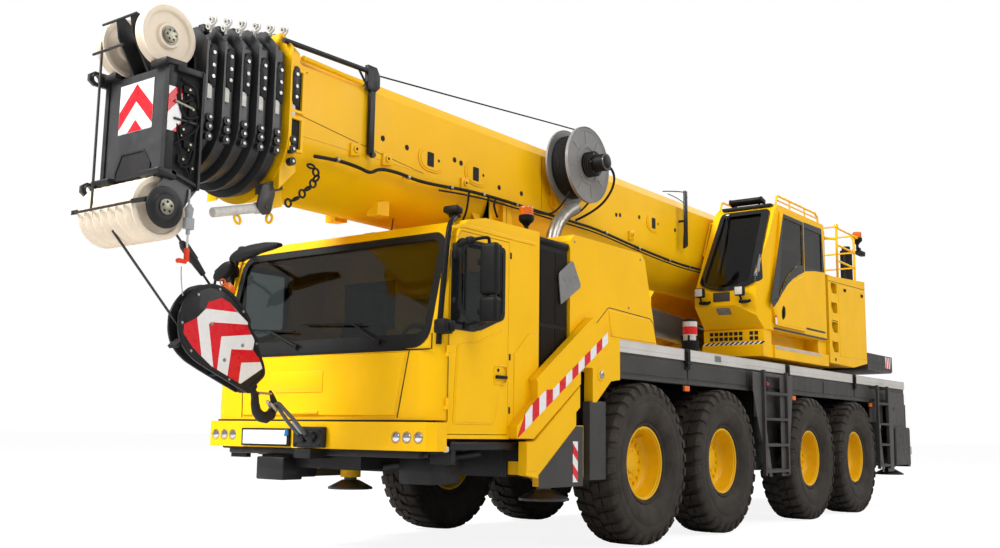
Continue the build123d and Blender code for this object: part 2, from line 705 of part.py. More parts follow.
with BuildPart() as upper_shell:
    add(upper_form(0))
    add(upper_form(upper_wall), mode=Mode.SUBTRACT)
    add(upper_windows(0), mode=Mode.SUBTRACT)
    side_outline(upper_door, upper_cab_out - 90, upper_cab_out + 20, mode=Mode.SUBTRACT, inset=30)
    # seat inside, and the fixed console beside it
    side_outline([(3900, 2640), (3880, 2740), (4280, 2710), (4430, 3380), (4520, 3380), (4390, 2640)],
                 640, 1080)
    block((720, 1000), (3980, 4300), (upper_cab_bottom + upper_wall, 2640))
save(upper_shell, "upper_cab_shell")

with BuildPart() as upper_glass:
    add(upper_form(10))
    add(upper_form(18), mode=Mode.SUBTRACT)
    add(upper_windows(running), mode=Mode.INTERSECT)
save(upper_glass, "upper_cab_glass")

with BuildPart() as upper_door_part:
    side_outline(upper_door, upper_cab_out + running, upper_cab_out + 34)
    side_outline(upper_door_window, upper_cab_out, upper_cab_out + 40, mode=Mode.SUBTRACT)
save(upper_door_part, "upper_cab_door")

# --- hoist drum behind the boom ------------------------------------------------------------------
with BuildPart() as drum:
    shaft_x(-plate_outer, plate_outer, hoist_centre, 60)
    shaft_x(-cheek_half + 60, cheek_half - 60, hoist_centre, drum_radius)
    for side in (-1, 1):
        shaft_x(*sorted((side * (cheek_half - 60), side * (cheek_half - 35))), hoist_centre, drum_flange)
save(drum, "hoist_drum")


# --- boom --------------------------------------------------------------------------------------
def boom_run(outer, inner, front, rear, mode=Mode.ADD):
    # a length of boom tube between two stations; outer and inner are insets from the base outline
    with BuildSketch(Plane.XZ.offset(-at(rear))) as outline:
        for inset, how in ((outer, Mode.ADD), (inner, Mode.SUBTRACT))[:1 if inner is None else 2]:
            half = boom_half - inset
            top = boom_top - inset
            with BuildLine(mode=Mode.PRIVATE) as edge:
                Polyline((-half, boom_axis), (-half, top - boom_chamfer), (boom_chamfer - half, top),
                         (half - boom_chamfer, top), (half, top - boom_chamfer), (half, boom_axis))
                ThreePointArc((half, boom_axis), (0, boom_axis - half), (-half, boom_axis))
            make_face(edge.edges(), mode=how)
    extrude(outline.sketch, amount=rear - front, mode=mode)


def section_tube(number, front, rear):
    # tube, front collar that guides the next section, and rear shoe inside the one before
    inset = section_step * number
    boom_run(inset, inset + section_wall, front, rear)
    if number < section_count:
        boom_run(inset - collar_height, inset + section_step - running, front, front + collar_length)
        boom_run(inset - collar_height - 25, inset, front, front + 18)
    if number:
        boom_run(inset - section_step + section_wall + running, inset + 1, rear - shoe_length, rear)


with BuildPart() as base:
    section_tube(0, boom_front, boom_rear)
    # closed tail, pivot cross tube and pin
    boom_run(1, None, boom_rear - 20, boom_rear)
    shaft_x(1 - cheek_half, cheek_half - 1, (pivot_station, pivot_height), 160)
    shaft_x(-plate_outer - 25, plate_outer + 25, (pivot_station, pivot_height), pivot_pin)
    # lugs of the lift cylinder's rod eye
    for side in (-1, 1):
        lug = sorted((side * (eye_half + body_gap), side * (eye_half + 45)))
        side_outline([(lift_eye[0] - 330, 2743), (lift_eye[0] + 330, 2743), (lift_eye[0] + 330, 2725),
                      (lift_eye[0] + 100, lift_eye[1] - 60), (lift_eye[0] + 40, lift_eye[1] - 110),
                      (lift_eye[0] - 40, lift_eye[1] - 110), (lift_eye[0] - 120, lift_eye[1] - 60),
                      (lift_eye[0] - 330, 2725)], *lug)
        shaft_x(*sorted((side * (eye_half + body_gap), side * (eye_half + 60))), lift_eye, 70)
    # arm of the cable reel
    block((boom_half - 4, 470), (-260, 60), (3300, 3420))
    side_outline([(-200, 3300), (0, 3300), (60, reel_centre[1] + 60), (-260, reel_centre[1] + 60)], 440, 470)
save(base, "boom_base")

for number in range(1, section_count + 1):
    front = boom_front - collar_pitch * number
    rear = section_rear - tail_stagger * (number - 1)
    with BuildPart() as section:
        if number < section_count:
            section_tube(number, front, rear)
        else:
            head_rear = boom_front - collar_pitch * (section_count - 1) - 20
            section_tube(number, head_rear - 1, rear)
            # head: end frame, cheeks that carry the sheaves, slotted front plate
            side_outline([(head_rear - 25, 2560), (head_rear, 2560), (head_rear, head_top),
                          (head_rear - 25, head_top)],
                         -head_half, head_half)
            # room for the falls when the boom stands steep
            block((-rope_notch, rope_notch), (head_rear - 30, head_rear + 5), (2550, 2670),
                  mode=Mode.SUBTRACT)
            cheek = [(head_front, head_top), (head_rear, head_top), (head_rear, 2560),
                     (low_sheave[0] + 130, low_sheave[1]),
                     (low_sheave[0] + 60, low_sheave[1] - 115), (low_sheave[0] - 60, low_sheave[1] - 115),
                     (low_sheave[0] - 130, low_sheave[1]), (head_front, 2600)]
            for side in (-1, 1):
                side_outline(cheek, *sorted((side * (head_half - 20), side * head_half)))
            block((-head_half, head_half), (head_front, head_front + 20), (2640, head_top))
            block((-head_half, head_half), (head_front, head_rear), (head_top - 20, head_top))
            for x in (-110, 110):
                side_outline([(head_front + 20, head_top - 10), (head_rear - 10, head_top - 10),
                              (top_sheave[0] + 55, top_sheave[1] + 45),
                              (top_sheave[0] - 35, top_sheave[1] + 45)],
                             x - 12, x + 12)
            # pins of the sheaves
            shaft_x(1 - head_half, head_half + 30, low_sheave, 45)
            shaft_x(-290, 290, top_sheave, 40)
            # lugs for a jib at the right-hand side
            for height in (3390, 2600):
                side_outline([(head_front - 150, height - 32), (head_front - 110, height - 60),
                              (head_front + 60, height - 60),
                              (head_front + 60, height + 40), (head_front - 110, height + 40),
                              (head_front - 150, height + 12)], -head_half - 24, -head_half + 1)
                shaft_x(-head_half - 30, -head_half + 5, (head_front - 90, height - 10), 27.5,
                        mode=Mode.SUBTRACT)
    save(section, f"boom_section_{number}")


def sheave_outline(count, pitch, radius, bore, groove):
    # half section of a pack of grooved sheaves on one axis
    points = [(-count * pitch / 2, bore)]
    for index in range(count):
        left = (index - count / 2) * pitch
        points += [(left, radius), (left + pitch / 2, radius - groove)]
    points += [(count * pitch / 2, radius), (count * pitch / 2, bore)]
    return points


with BuildPart() as sheaves:
    for place, x, count, pitch, bore in ((low_sheave, 0, 7, 88, 45), (top_sheave, 225, 1, 90, 40),
                                         (top_sheave, -225, 1, 90, 40)):
        with BuildSketch(Plane(origin=(x, at(place[0]), place[1]), x_dir=(1, 0, 0), z_dir=(0, -1, 0))):
            with BuildLine():
                Polyline(*sheave_outline(count, pitch, sheave_radius, bore + running, sheave_groove),
                         close=True)
            make_face()
        revolve(axis=Axis((x, at(place[0]), place[1]), (1, 0, 0)))
save(sheaves, "head_sheaves")

# --- lift cylinder ---------------------------------------------------------------------------------
lift_length = hypot(lift_foot[0] - lift_eye[0], lift_eye[1] - lift_foot[1])
lift_tilt = degrees(atan2(lift_eye[1] - lift_foot[1], lift_foot[0] - lift_eye[0]))
# local x runs from the foot pin to the rod eye
lift_plane = Plane(origin=(0, at(lift_foot[0]), lift_foot[1]),
                   x_dir=(0, -cos(radians(lift_tilt)), sin(radians(lift_tilt))), z_dir=(1, 0, 0))
gland_end = lift_length - 320
gland_length = 120


def lift_turning(points, mode=Mode.ADD):
    with BuildSketch(lift_plane) as outline:
        with BuildLine():
            Polyline(*points, close=True)
        make_face()
    revolve(outline.sketch, axis=Axis(lift_plane.origin, lift_plane.x_dir), mode=mode)


with BuildPart() as barrel:
    lift_turning([(60, 0), (60, 100), (135, 115), (200, barrel_radius), (gland_end - 40, barrel_radius),
                  (gland_end - 40, barrel_radius + 14), (gland_end, barrel_radius + 14),
                  (gland_end, rod_radius + bearing_gap), (gland_end - gland_length, rod_radius + bearing_gap),
                  (gland_end - gland_length, barrel_bore), (185, barrel_bore), (185, 0)])
    shaft_x(-eye_half, eye_half, lift_foot, 110)
    shaft_x(-eye_half - 60, eye_half + 60, lift_foot, 55)
save(barrel, "lift_cylinder_barrel")

piston_start = 190
with BuildPart() as rod:
    lift_turning([(piston_start, 0), (piston_start, barrel_bore - bearing_gap),
                  (piston_start + 100, barrel_bore - bearing_gap), (piston_start + 100, rod_radius),
                  (lift_length - 100, rod_radius), (lift_length - 60, 90), (lift_length - 60, 0)])
    shaft_x(-eye_half, eye_half, lift_eye, 100)
save(rod, "lift_cylinder_rod")

# --- cable reel on the boom's left side --------------------------------------------------------------
with BuildPart() as reel:
    shaft_x(470 + running, 500, reel_centre, 90)
    shaft_x(500, 512, reel_centre, reel_radius)
    shaft_x(512, 730, reel_centre, 255)
    shaft_x(730, 742, reel_centre, reel_radius)
    shaft_x(742, 830, reel_centre, 120)
    shaft_x(830, 960, reel_centre, 80)
save(reel, "cable_reel")

# --- hook block and hook, hanging from the lower sheaves and tied back -------------------------------
block_place = Location((0, at(low_sheave[0] + hook_reach * sin(radians(hook_tilt))),
                        low_sheave[1] - hook_reach * cos(radians(hook_tilt))), (hook_tilt, 0, 0))
with BuildPart() as block_shape:
    for side in (-1, 1):
        with BuildSketch(Plane.YZ.offset(block_gap / 2 if side > 0 else -block_gap / 2 - 20)) as kite:
            with BuildLine():
                Polyline((-110, 450), (110, 450), (205, 380), (275, 230), (285, 60), (240, -130), (110, -440),
                         (-110, -440), (-240, -130), (-285, 60), (-275, 230), (-205, 380), close=True)
            make_face()
            fillet(kite.vertices(), radius=40)
        extrude(amount=20)
    with Locations(Location((0, 0, 60), (0, 90, 0))):
        Cylinder(block_sheave, block_gap)
    with Locations((0, 0, -370)):
        Box(block_gap, 150, 90)
    with Locations((0, 0, 340)):
        Box(block_gap, 160, 90)
    # rope falls, laid to the sheaves above and below without touching them
    block_grip = block_sheave + rope_radius + running
    head_grip = sheave_radius - sheave_groove + 10.9
    lean = asin((head_grip - block_grip) / (hook_reach - 60))
    fall = (hook_reach - 60) * cos(lean)
    for side in (-1, 1):
        middle_y = side * (block_grip + head_grip) / 2 * cos(lean)
        middle_z = (hook_reach + 60) / 2 - (block_grip + head_grip) / 2 * sin(lean)
        with Locations(Location((0, middle_y, middle_z), (-side * degrees(lean), 0, 0))):
            Cylinder(rope_radius, fall)
    # the falls are held in the block's top clamp
    with Locations((0, 0, 200)):
        Box(40, 2 * block_grip + 40, 34)
with BuildPart() as hook_block:
    with Locations(block_place):
        add(block_shape.part)
save(hook_block, "hook_block")

with BuildPart() as hook_shape:
    with Locations((0, 0, -440)):
        Cylinder(38, 50 - 2 * running)
    with BuildSketch(Plane.YZ) as bend:
        with Locations((20, -590)):
            Circle(128)
        with Locations((14, -582)):
            Circle(62, mode=Mode.SUBTRACT)
        with Locations((-120, -530)):
            Rectangle(150, 90, mode=Mode.SUBTRACT)
        with Locations((0, -480)):
            Rectangle(76, 60)
    extrude(amount=32, both=True)
with BuildPart() as hook:
    with Locations(block_place):
        add(hook_shape.part)
save(hook, "hook")
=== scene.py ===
import bmesh
import bpy
from math import cos, pi, radians, sin
from mathutils import Matrix, Vector


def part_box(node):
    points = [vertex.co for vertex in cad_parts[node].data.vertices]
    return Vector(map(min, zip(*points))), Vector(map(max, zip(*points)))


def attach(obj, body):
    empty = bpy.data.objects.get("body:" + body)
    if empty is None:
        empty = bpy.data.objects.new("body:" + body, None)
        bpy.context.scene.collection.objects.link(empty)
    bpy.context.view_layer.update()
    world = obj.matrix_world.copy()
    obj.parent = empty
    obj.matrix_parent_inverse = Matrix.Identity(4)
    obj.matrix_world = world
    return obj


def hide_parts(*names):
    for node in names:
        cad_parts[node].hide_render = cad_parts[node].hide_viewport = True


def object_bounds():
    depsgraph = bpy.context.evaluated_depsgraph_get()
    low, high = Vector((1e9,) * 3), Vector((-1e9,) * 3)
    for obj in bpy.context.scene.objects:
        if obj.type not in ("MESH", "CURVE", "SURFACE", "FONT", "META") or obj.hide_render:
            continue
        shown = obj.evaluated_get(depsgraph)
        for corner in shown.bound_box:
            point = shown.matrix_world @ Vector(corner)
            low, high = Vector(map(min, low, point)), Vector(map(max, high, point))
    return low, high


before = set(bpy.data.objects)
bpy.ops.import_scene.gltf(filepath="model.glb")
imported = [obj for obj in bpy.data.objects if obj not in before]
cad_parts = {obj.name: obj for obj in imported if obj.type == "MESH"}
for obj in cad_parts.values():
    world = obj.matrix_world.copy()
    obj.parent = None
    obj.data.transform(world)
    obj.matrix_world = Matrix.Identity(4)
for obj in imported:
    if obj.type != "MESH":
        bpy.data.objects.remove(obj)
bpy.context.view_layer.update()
sides = (("left", 1), ("right", -1))


def middleOf(node):
    low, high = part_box(node)
    return (Vector(low) + Vector(high)) / 2


# every place below is (across, station, up); a station is metres behind the first axle
axleOne = middleOf("wheel_1_left")

# camera
view = {"lens": 38.16, "place": (6.145, -10.523, 0.995), "yaw": 36.947, "pitch": 8.501, "roll": 0.779}
yaw, pitch, roll = (radians(view[key]) for key in ("yaw", "pitch", "roll"))
forward = Vector((-sin(yaw) * cos(pitch), cos(yaw) * cos(pitch), sin(pitch)))
level = forward.cross(Vector((0, 0, 1))).normalized()
upright = level.cross(forward)
cameraRight = cos(roll) * level + sin(roll) * upright
cameraUp = cos(roll) * upright - sin(roll) * level
cameraData = bpy.data.cameras.new("camera")
cameraData.lens = view["lens"]
cameraData.clip_end = 200
camera = bpy.data.objects.new("camera", cameraData)
bpy.context.collection.objects.link(camera)
camera.matrix_world = Matrix.Translation(view["place"]) @ Matrix(
    (cameraRight, cameraUp, -forward)).transposed().to_4x4()
bpy.context.scene.camera = camera
print("camera set")


# materials
def newMaterial(name):
    material = bpy.data.materials.new(name)
    material.use_nodes = True
    tree = material.node_tree
    return material, tree, tree.nodes["Principled BSDF"]


def fill(node, values):
    for key, value in values.items():
        node.inputs[key].default_value = value


def noiseNode(tree, scale, detail=4, roughness=0.55):
    place = tree.nodes.new("ShaderNodeTexCoord")
    cloud = tree.nodes.new("ShaderNodeTexNoise")
    fill(cloud, {"Scale": scale, "Detail": detail, "Roughness": roughness})
    tree.links.new(place.outputs["Object"], cloud.inputs["Vector"])
    return cloud.outputs["Fac"]


def rangeNode(tree, source, low, high):
    # the middle of a noise, spread over a range
    spread = tree.nodes.new("ShaderNodeMapRange")
    fill(spread, {"From Min": 0.35, "From Max": 0.65, "To Min": low, "To Max": high})
    tree.links.new(source, spread.inputs["Value"])
    return spread.outputs["Result"]


def blendColours(tree, shader, source, dark, pale, spread=True):
    blend = tree.nodes.new("ShaderNodeMix")
    blend.data_type = "RGBA"
    fill(blend, {"A": (*dark, 1), "B": (*pale, 1)})
    share = rangeNode(tree, source, 0, 1) if spread else source
    tree.links.new(share, blend.inputs["Factor"])
    tree.links.new(blend.outputs["Result"], shader.inputs["Base Color"])


def addRelief(tree, shader, source, strength):
    relief = tree.nodes.new("ShaderNodeBump")
    fill(relief, {"Strength": strength, "Distance": 0.001})
    tree.links.new(source, relief.inputs["Height"])
    tree.links.new(relief.outputs["Normal"], shader.inputs["Normal"])


def finish(name, colour, roughness, metal=0.0, coat=0.0, tint=0.88, grain=900, bump=0.02, patch=1.7,
           spread=0.08, gleam=0.22):
    # a solid finish whose colour and gloss drift a little, with a fine surface grain
    material, tree, shader = newMaterial(name)
    fill(shader, {"Metallic": metal, "Coat Weight": coat, "Coat Roughness": 0.08,
                  "Specular IOR Level": gleam})
    drift = noiseNode(tree, patch, 5)
    blendColours(tree, shader, drift, [c * tint for c in colour], colour)
    smudge = noiseNode(tree, patch * 3.1, 6)
    gloss = rangeNode(tree, smudge, roughness - spread, roughness + spread)
    tree.links.new(gloss, shader.inputs["Roughness"])
    if bump:
        addRelief(tree, shader, noiseNode(tree, grain, 2), bump)
    return material


colours = {
    "yellow": (0.89, 0.485, 0.002),
    "grey": (0.056, 0.053, 0.05),
    "boomGrey": (0.042, 0.042, 0.044),
    "black": (0.012, 0.012, 0.013),
    "tyre": (0.036, 0.03, 0.025),
    "cream": (0.84, 0.72, 0.57),
    "edgeBand": (0.66, 0.63, 0.59),
    "red": (0.68, 0.01, 0.02),
    "white": (0.78, 0.77, 0.76),
    "orange": (0.85, 0.16, 0.01),
}
yellowPaint = finish("yellowPaint", colours["yellow"], 0.36, coat=0.05, tint=0.93, grain=260, bump=0.004,
                     gleam=0.15)
rimPaint = finish("rimPaint", (0.8, 0.44, 0.002), 0.44, coat=0.05, tint=0.92, grain=300, bump=0.005, patch=6)
greyPaint = finish("greyPaint", colours["grey"], 0.42, metal=0.1, coat=0.05, tint=0.8, patch=2.4)
boomPaint = finish("boomPaint", colours["boomGrey"], 0.4, metal=0.1, coat=0.25, tint=0.8, patch=4)
blackPaint = finish("blackPaint", colours["black"], 0.45, coat=0.1, patch=5)
blackPlastic = finish("blackPlastic", (0.009, 0.009, 0.009), 0.5, grain=2400, bump=0.12, patch=7, gleam=0.14)
blackGloss = finish("blackGloss", (0.01, 0.01, 0.011), 0.12, coat=0.6, grain=300, bump=0.004, patch=4,
                    spread=0.04)
rubber = finish("rubber", (0.014, 0.013, 0.013), 0.7, grain=1500, bump=0.08, patch=12)
creamNylon = finish("creamNylon", colours["cream"], 0.45, tint=0.9, grain=700, bump=0.03, patch=5)
bandPaint = finish("bandPaint", colours["edgeBand"], 0.38, metal=0.25, tint=0.9, patch=3)
stripeRed = finish("stripeRed", colours["red"], 0.3, coat=0.4, grain=1800, bump=0.05, patch=8)
stripeWhite = finish("stripeWhite", colours["white"], 0.3, coat=0.4, tint=0.95, grain=1800, bump=0.05,
                     patch=8)
blankPlate = finish("blankPlate", (0.27, 0.265, 0.26), 0.35, metal=0.6, grain=1200, bump=0.05, patch=9)
stainless = finish("stainless", (0.34, 0.31, 0.27), 0.36, metal=1.0, tint=0.85, patch=9)
chromeRod = finish("chromeRod", (0.7, 0.7, 0.71), 0.12, metal=1.0, tint=0.92, patch=4, spread=0.04)
zinc = finish("zinc", (0.42, 0.41, 0.38), 0.38, metal=0.9, grain=900, bump=0.05, patch=20)
cylinderGrey = finish("cylinderGrey", (0.082, 0.083, 0.085), 0.38, metal=0.2, coat=0.3, patch=3)
orangePlastic = finish("orangePlastic", colours["orange"], 0.35, coat=0.3, grain=700, bump=0.03, patch=10)
seatCloth = finish("seatCloth", (0.035, 0.036, 0.04), 0.85, grain=2600, bump=0.4, patch=9)
palePlastic = finish("palePlastic", (0.62, 0.6, 0.55), 0.45, tint=0.85, grain=900, bump=0.04, patch=30)


def makeTyreRubber():
    # dark rubber with paler dust in patches that a noise spreads at random
    material, tree, shader = newMaterial("tyreRubber")
    fill(shader, {"Specular IOR Level": 0.2})
    dust = noiseNode(tree, 5.5, 7, 0.62)
    fine = noiseNode(tree, 140, 3)
    blendColours(tree, shader, dust, [c * 0.72 for c in colours["tyre"]], [c * 1.28 for c in colours["tyre"]])
    tree.links.new(rangeNode(tree, fine, 0.62, 0.82), shader.inputs["Roughness"])
    addRelief(tree, shader, fine, 0.15)
    return material


def makeGlass(name, colour, roughness=0.02, clear=1.0):
    material, tree, shader = newMaterial(name)
    fill(shader, {"Base Color": (*colour, 1), "Transmission Weight": clear, "IOR": 1.45})
    film = noiseNode(tree, 3, 3)
    tree.links.new(rangeNode(tree, film, roughness, roughness + 0.03), shader.inputs["Roughness"])
    return material


def makeRope():
    # lay of the strands: slanted bands along the rope
    material, tree, shader = newMaterial("wireRope")
    place = tree.nodes.new("ShaderNodeTexCoord")
    strands = tree.nodes.new("ShaderNodeTexWave")
    strands.bands_direction = "DIAGONAL"
    fill(strands, {"Scale": 38})
    tree.links.new(place.outputs["Object"], strands.inputs["Vector"])
    fill(shader, {"Metallic": 0.7, "Roughness": 0.45})
    blendColours(tree, shader, strands.outputs["Fac"], (0.012, 0.011, 0.011), (0.085, 0.08, 0.075), False)
    return material


tyreRubber = makeTyreRubber()
cabGlass = makeGlass("cabGlass", (0.36, 0.40, 0.40))
upperGlass = makeGlass("upperGlass", (0.12, 0.13, 0.13))
amberGlass = makeGlass("amberGlass", (0.95, 0.22, 0.02), 0.06, 0.5)
wireRope = makeRope()

# each finish listed against one of the part's slot names; the table is not kept, and a piece's slotName is
# not read
for slotName, names in (("black_plastic", "blackPlastic rubber blackGloss airBoxPlastic tagBlue strapGrey"),
                        ("black_paint", "blackPaint"),
                        ("grey_paint", "greyPaint rungPaint headPaint reelGrey"),
                        ("yellow_paint", "yellowPaint stripeRed seamPaint"),
                        ("dark_glass", "cabGlass upperGlass"),
                        ("chrome", "lampReflector chromeRod"), ("steel", "stainless zinc hubZinc wireRope"),
                        ("cream_nylon", "palePlastic amberGlass orangePlastic creamNylon flagRed"),
                        ("aluminium", "stripeWhite blankPlate bandPaint switchGrey")):
    dict.fromkeys(names.split(), slotName)
print("materials made")


# shapes
def span(sign, low, high):
    # range across on the left, mirrored for the right
    return sorted((sign * low, sign * high))


def oblong(left, right, low, high):
    return [(left, low), (left, high), (right, high), (right, low)]


def around(count, radius, shift=0.0):
    # evenly spaced offsets on a circle
    turns = [2 * pi * step / count + shift for step in range(count)]
    return [(radius * cos(turn), radius * sin(turn)) for turn in turns]


def lay(points, along, axis=0):
    # an outline set at a place along an axis: (s, z) points along x, (x, z) along s, (x, s) along z
    order = ((2, 0, 1), (0, 2, 1), (0, 1, 2))[axis]
    return [tuple((a, b, along)[index] for index in order) for a, b in points]


def addPiece(name, data, body, replaces=()):
    piece = bpy.data.objects.new(name, data)
    bpy.context.collection.objects.link(piece)
    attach(piece, body)
    if replaces:
        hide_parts(*replaces)
    return piece


def bevelEdges(piece, width, segments, limit):
    edges = piece.modifiers.new("edges", "BEVEL")
    edges.width = width
    edges.segments = segments
    edges.limit_method = "ANGLE"
    edges.angle_limit = radians(limit)


def smoothMesh(data, limit):
    data.shade_smooth()
    data.set_sharp_from_angle(angle=radians(limit))


class Shape:
    # gathers solids of one finish into one mesh

    def __init__(self):
        self.mesh = bmesh.new()

    def block(self, low, high, turn=None, bevel=0.0):
        low, high = Vector(low), Vector(high)
        made = bmesh.ops.create_cube(self.mesh, size=1.0)["verts"]
        bmesh.ops.scale(self.mesh, vec=high - low, verts=made)
        if bevel:
            edges = list({edge for vert in made for edge in vert.link_edges})
            made = bmesh.ops.bevel(self.mesh, geom=edges, offset=bevel, segments=2, profile=0.5,
                                   affect="EDGES", clamp_overlap=True)["verts"]
        if turn is not None:
            bmesh.ops.transform(self.mesh, matrix=turn.to_4x4(), verts=made)
        bmesh.ops.translate(self.mesh, vec=(low + high) / 2, verts=made)

    def flank(self, sign, across, along, up, bevel=0.0):
        # a block on one side, from its three ranges
        self.block(*zip(span(sign, *across), along, up), bevel=bevel)

    def loft(self, rings, closed=False, crossed=False):
        # faces between rings that follow each other, with an end on the first and last unless they close;
        # a warped face folds along its other diagonal where the rings close or are crossed
        rings = [[self.mesh.verts.new(place) for place in ring] for ring in rings]
        faces = [] if closed else [self.mesh.faces.new(rings[0]), self.mesh.faces.new(rings[-1][::-1])]
        for first, second in zip(rings, rings[1:] + rings[:1] if closed else rings[1:]):
            for index in range(len(first)):
                near, far = index, (index + 1) % len(first)
                if not closed and not crossed:
                    near, far = far, near
                faces.append(self.mesh.faces.new((first[near], first[far], second[far], second[near])))
        bmesh.ops.recalc_face_normals(self.mesh, faces=faces)
        return faces

    def prism(self, points, low, high, axis=0, bevel=0.0):
        faces = self.loft([lay(points, low, axis), lay(points, high, axis)])
        if bevel:
            rim = list({edge for face in faces[:2] for edge in face.edges})
            bmesh.ops.bevel(self.mesh, geom=rim, offset=bevel, segments=2, profile=0.5, affect="EDGES",
                            clamp_overlap=True)

    def plate(self, sign, points, low, high, bevel=0.0):
        # an outline raised on one side
        self.prism(points, *span(sign, low, high), bevel=bevel)

    def bar(self, start, end, radius, sides=16, endRadius=None):
        start, end = Vector(start), Vector(end)
        made = bmesh.ops.create_cone(self.mesh, cap_ends=True, segments=sides, radius1=radius,
                                     radius2=radius if endRadius is None else endRadius,
                                     depth=(end - start).length)["verts"]
        turn = (end - start).to_track_quat("Z", "Y").to_matrix().to_4x4()
        bmesh.ops.transform(self.mesh, matrix=Matrix.Translation((start + end) / 2) @ turn, verts=made)

    def stud(self, sign, across, s, z, radius, sides=16):
        # a short bar that stands out on one side
        self.bar((sign * across[0], s, z), (sign * across[1], s, z), radius, sides)

    def turned(self, outline, centre, axis, sides=48):
        # (along, radius) points turned about an axis through the centre
        axis, centre = Vector(axis).normalized(), Vector(centre)
        across = axis.orthogonal().normalized()
        other = axis.cross(across)
        rings = []
        for along, radius in outline:
            middle = centre + axis * along
            offsets = around(sides, radius) if radius > 1e-6 else [(0, 0)]
            rings.append([self.mesh.verts.new(middle + a * across + b * other) for a, b in offsets])
        faces = []
        for first, second in zip(rings, rings[1:]):
            if len(first) == len(second) == 1:
                continue
            for step in range(sides):
                after = (step + 1) % sides
                corners = [first[step % len(first)], second[step % len(second)], second[after % len(second)],
                           first[after % len(first)]]
                faces.append(self.mesh.faces.new(list(dict.fromkeys(corners))))
        bmesh.ops.recalc_face_normals(self.mesh, faces=faces)

    def ring(self, centre, axis, radius, thick, sides=32, rounds=10):
        # a torus
        outline = [(thick * sin(2 * pi * k / rounds),
                    radius + thick * cos(2 * pi * k / rounds)) for k in range(rounds + 1)]
        self.turned(outline, centre, axis, sides)
        bmesh.ops.remove_doubles(self.mesh, verts=self.mesh.verts[:], dist=1e-5)

    def bolt(self, centre, axis, radius, height=None):
        # hexagon head on a washer
        centre, axis = Vector(centre), Vector(axis).normalized()
        height = height or radius * 0.9
        self.bar(centre, centre + axis * height * 0.3, radius * 1.35, 14)
        self.bar(centre, centre + axis * height, radius, 6, radius * 0.94)

    def toData(self, name):
        data = bpy.data.meshes.new(name)
        self.mesh.normal_update()
        self.mesh.to_mesh(data)
        self.mesh.free()
        return data

    def done(self, name, material, body, slotName=None, bevel=0.0, smooth=35, replaces=()):
        bmesh.ops.translate(self.mesh, vec=(0, axleOne.y, 0), verts=self.mesh.verts[:])
        data = self.toData(name)
        data.materials.append(material)
        if smooth:
            smoothMesh(data, smooth)
        piece = addPiece(name, data, body, replaces)
        if bevel:
            bevelEdges(piece, bevel, 2, 40)


def hose(name, points, radius, material, body, smoothLine=True):
    curve = bpy.data.curves.new(name, "CURVE")
    curve.dimensions = "3D"
    curve.bevel_depth = radius
    curve.bevel_resolution = 3
    curve.resolution_u = 6
    curve.use_fill_caps = True
    line = curve.splines.new("NURBS" if smoothLine else "POLY")
    line.points.add(len(points) - 1)
    for point, (x, s, z) in zip(line.points, points):
        point.co = (x, s + axleOne.y, z, 1)
    if smoothLine:
        line.order_u = 3
        line.use_endpoint_u = True
    curve.materials.append(material)
    addPiece(name, curve, body)


def paintNode(node, material):
    data = bpy.data.objects[node].data
    data.materials.clear()
    data.materials.append(material)
    smoothMesh(data, 30)


# wheels
wheel = {"radius": 0.735, "flange": 0.335, "rimHalf": 0.143, "pitches": 32, "nuts": 16}


def treadBlock(form, stations):
    # stations run outwards: (x, top radius, base radius, first and last place along the tread)
    rings = []
    for x, top, base, first, last in stations:
        foot = 0.006 / wheel["radius"]
        first, last = first / wheel["radius"], last / wheel["radius"]
        corners = ((base, first - foot), (top, first), (top, last), (base, last + foot))
        rings.append([(x, radius * sin(turn), radius * cos(turn)) for radius, turn in corners])
    form.loft(rings)


def makeTyre():
    form = Shape()
    bead = wheel["flange"] + 0.0005
    half = [(0.1305, bead - 0.012), (0.134, bead), (0.154, bead + 0.012), (0.157, bead + 0.03),
            (0.15, bead + 0.036), (0.176, 0.392), (0.2, 0.44), (0.212, 0.5), (0.2155, 0.555), (0.2125, 0.56),
            (0.2145, 0.566), (0.213, 0.605), (0.208, 0.64), (0.2, 0.672), (0.184, 0.694), (0.165, 0.703),
            (0.12, 0.708), (0.06, 0.711)]
    outline = half + [(0, 0.712)] + [(-x, r) for x, r in reversed(half)] + [half[0]]
    form.turned(outline, (0, 0, 0), (1, 0, 0), 96)
    bmesh.ops.remove_doubles(form.mesh, verts=form.mesh.verts[:], dist=1e-5)
    pitch = 2 * pi * wheel["radius"] / wheel["pitches"]
    for step in range(wheel["pitches"]):
        for side in (-1, 1):
            start = (step + (0.5 if side > 0 else 0)) * pitch
            shoulder = [(0.092, 0.7335, 0.702, 0.006, 0.098), (0.15, 0.7315, 0.698, 0.02, 0.108),
                        (0.186, 0.7235, 0.686, 0.03, 0.112), (0.2065, 0.7, 0.66, 0.034, 0.108),
                        (0.2165, 0.664, 0.64, 0.042, 0.1), (0.2165, 0.652, 0.638, 0.05, 0.092)]
            treadBlock(form, [(side * x, top, base, start + a, start + b) for x, top, base, a, b in shoulder])
            middle = [(0.008, 0.735, 0.705, -0.017, 0.065), (0.04, 0.735, 0.705, 0.005, 0.087),
                      (0.08, 0.7345, 0.704, 0.013, 0.097)]
            treadBlock(form, [(side * x, top, base, start + a, start + b) for x, top, base, a, b in middle])
    return form.toData("tyre")


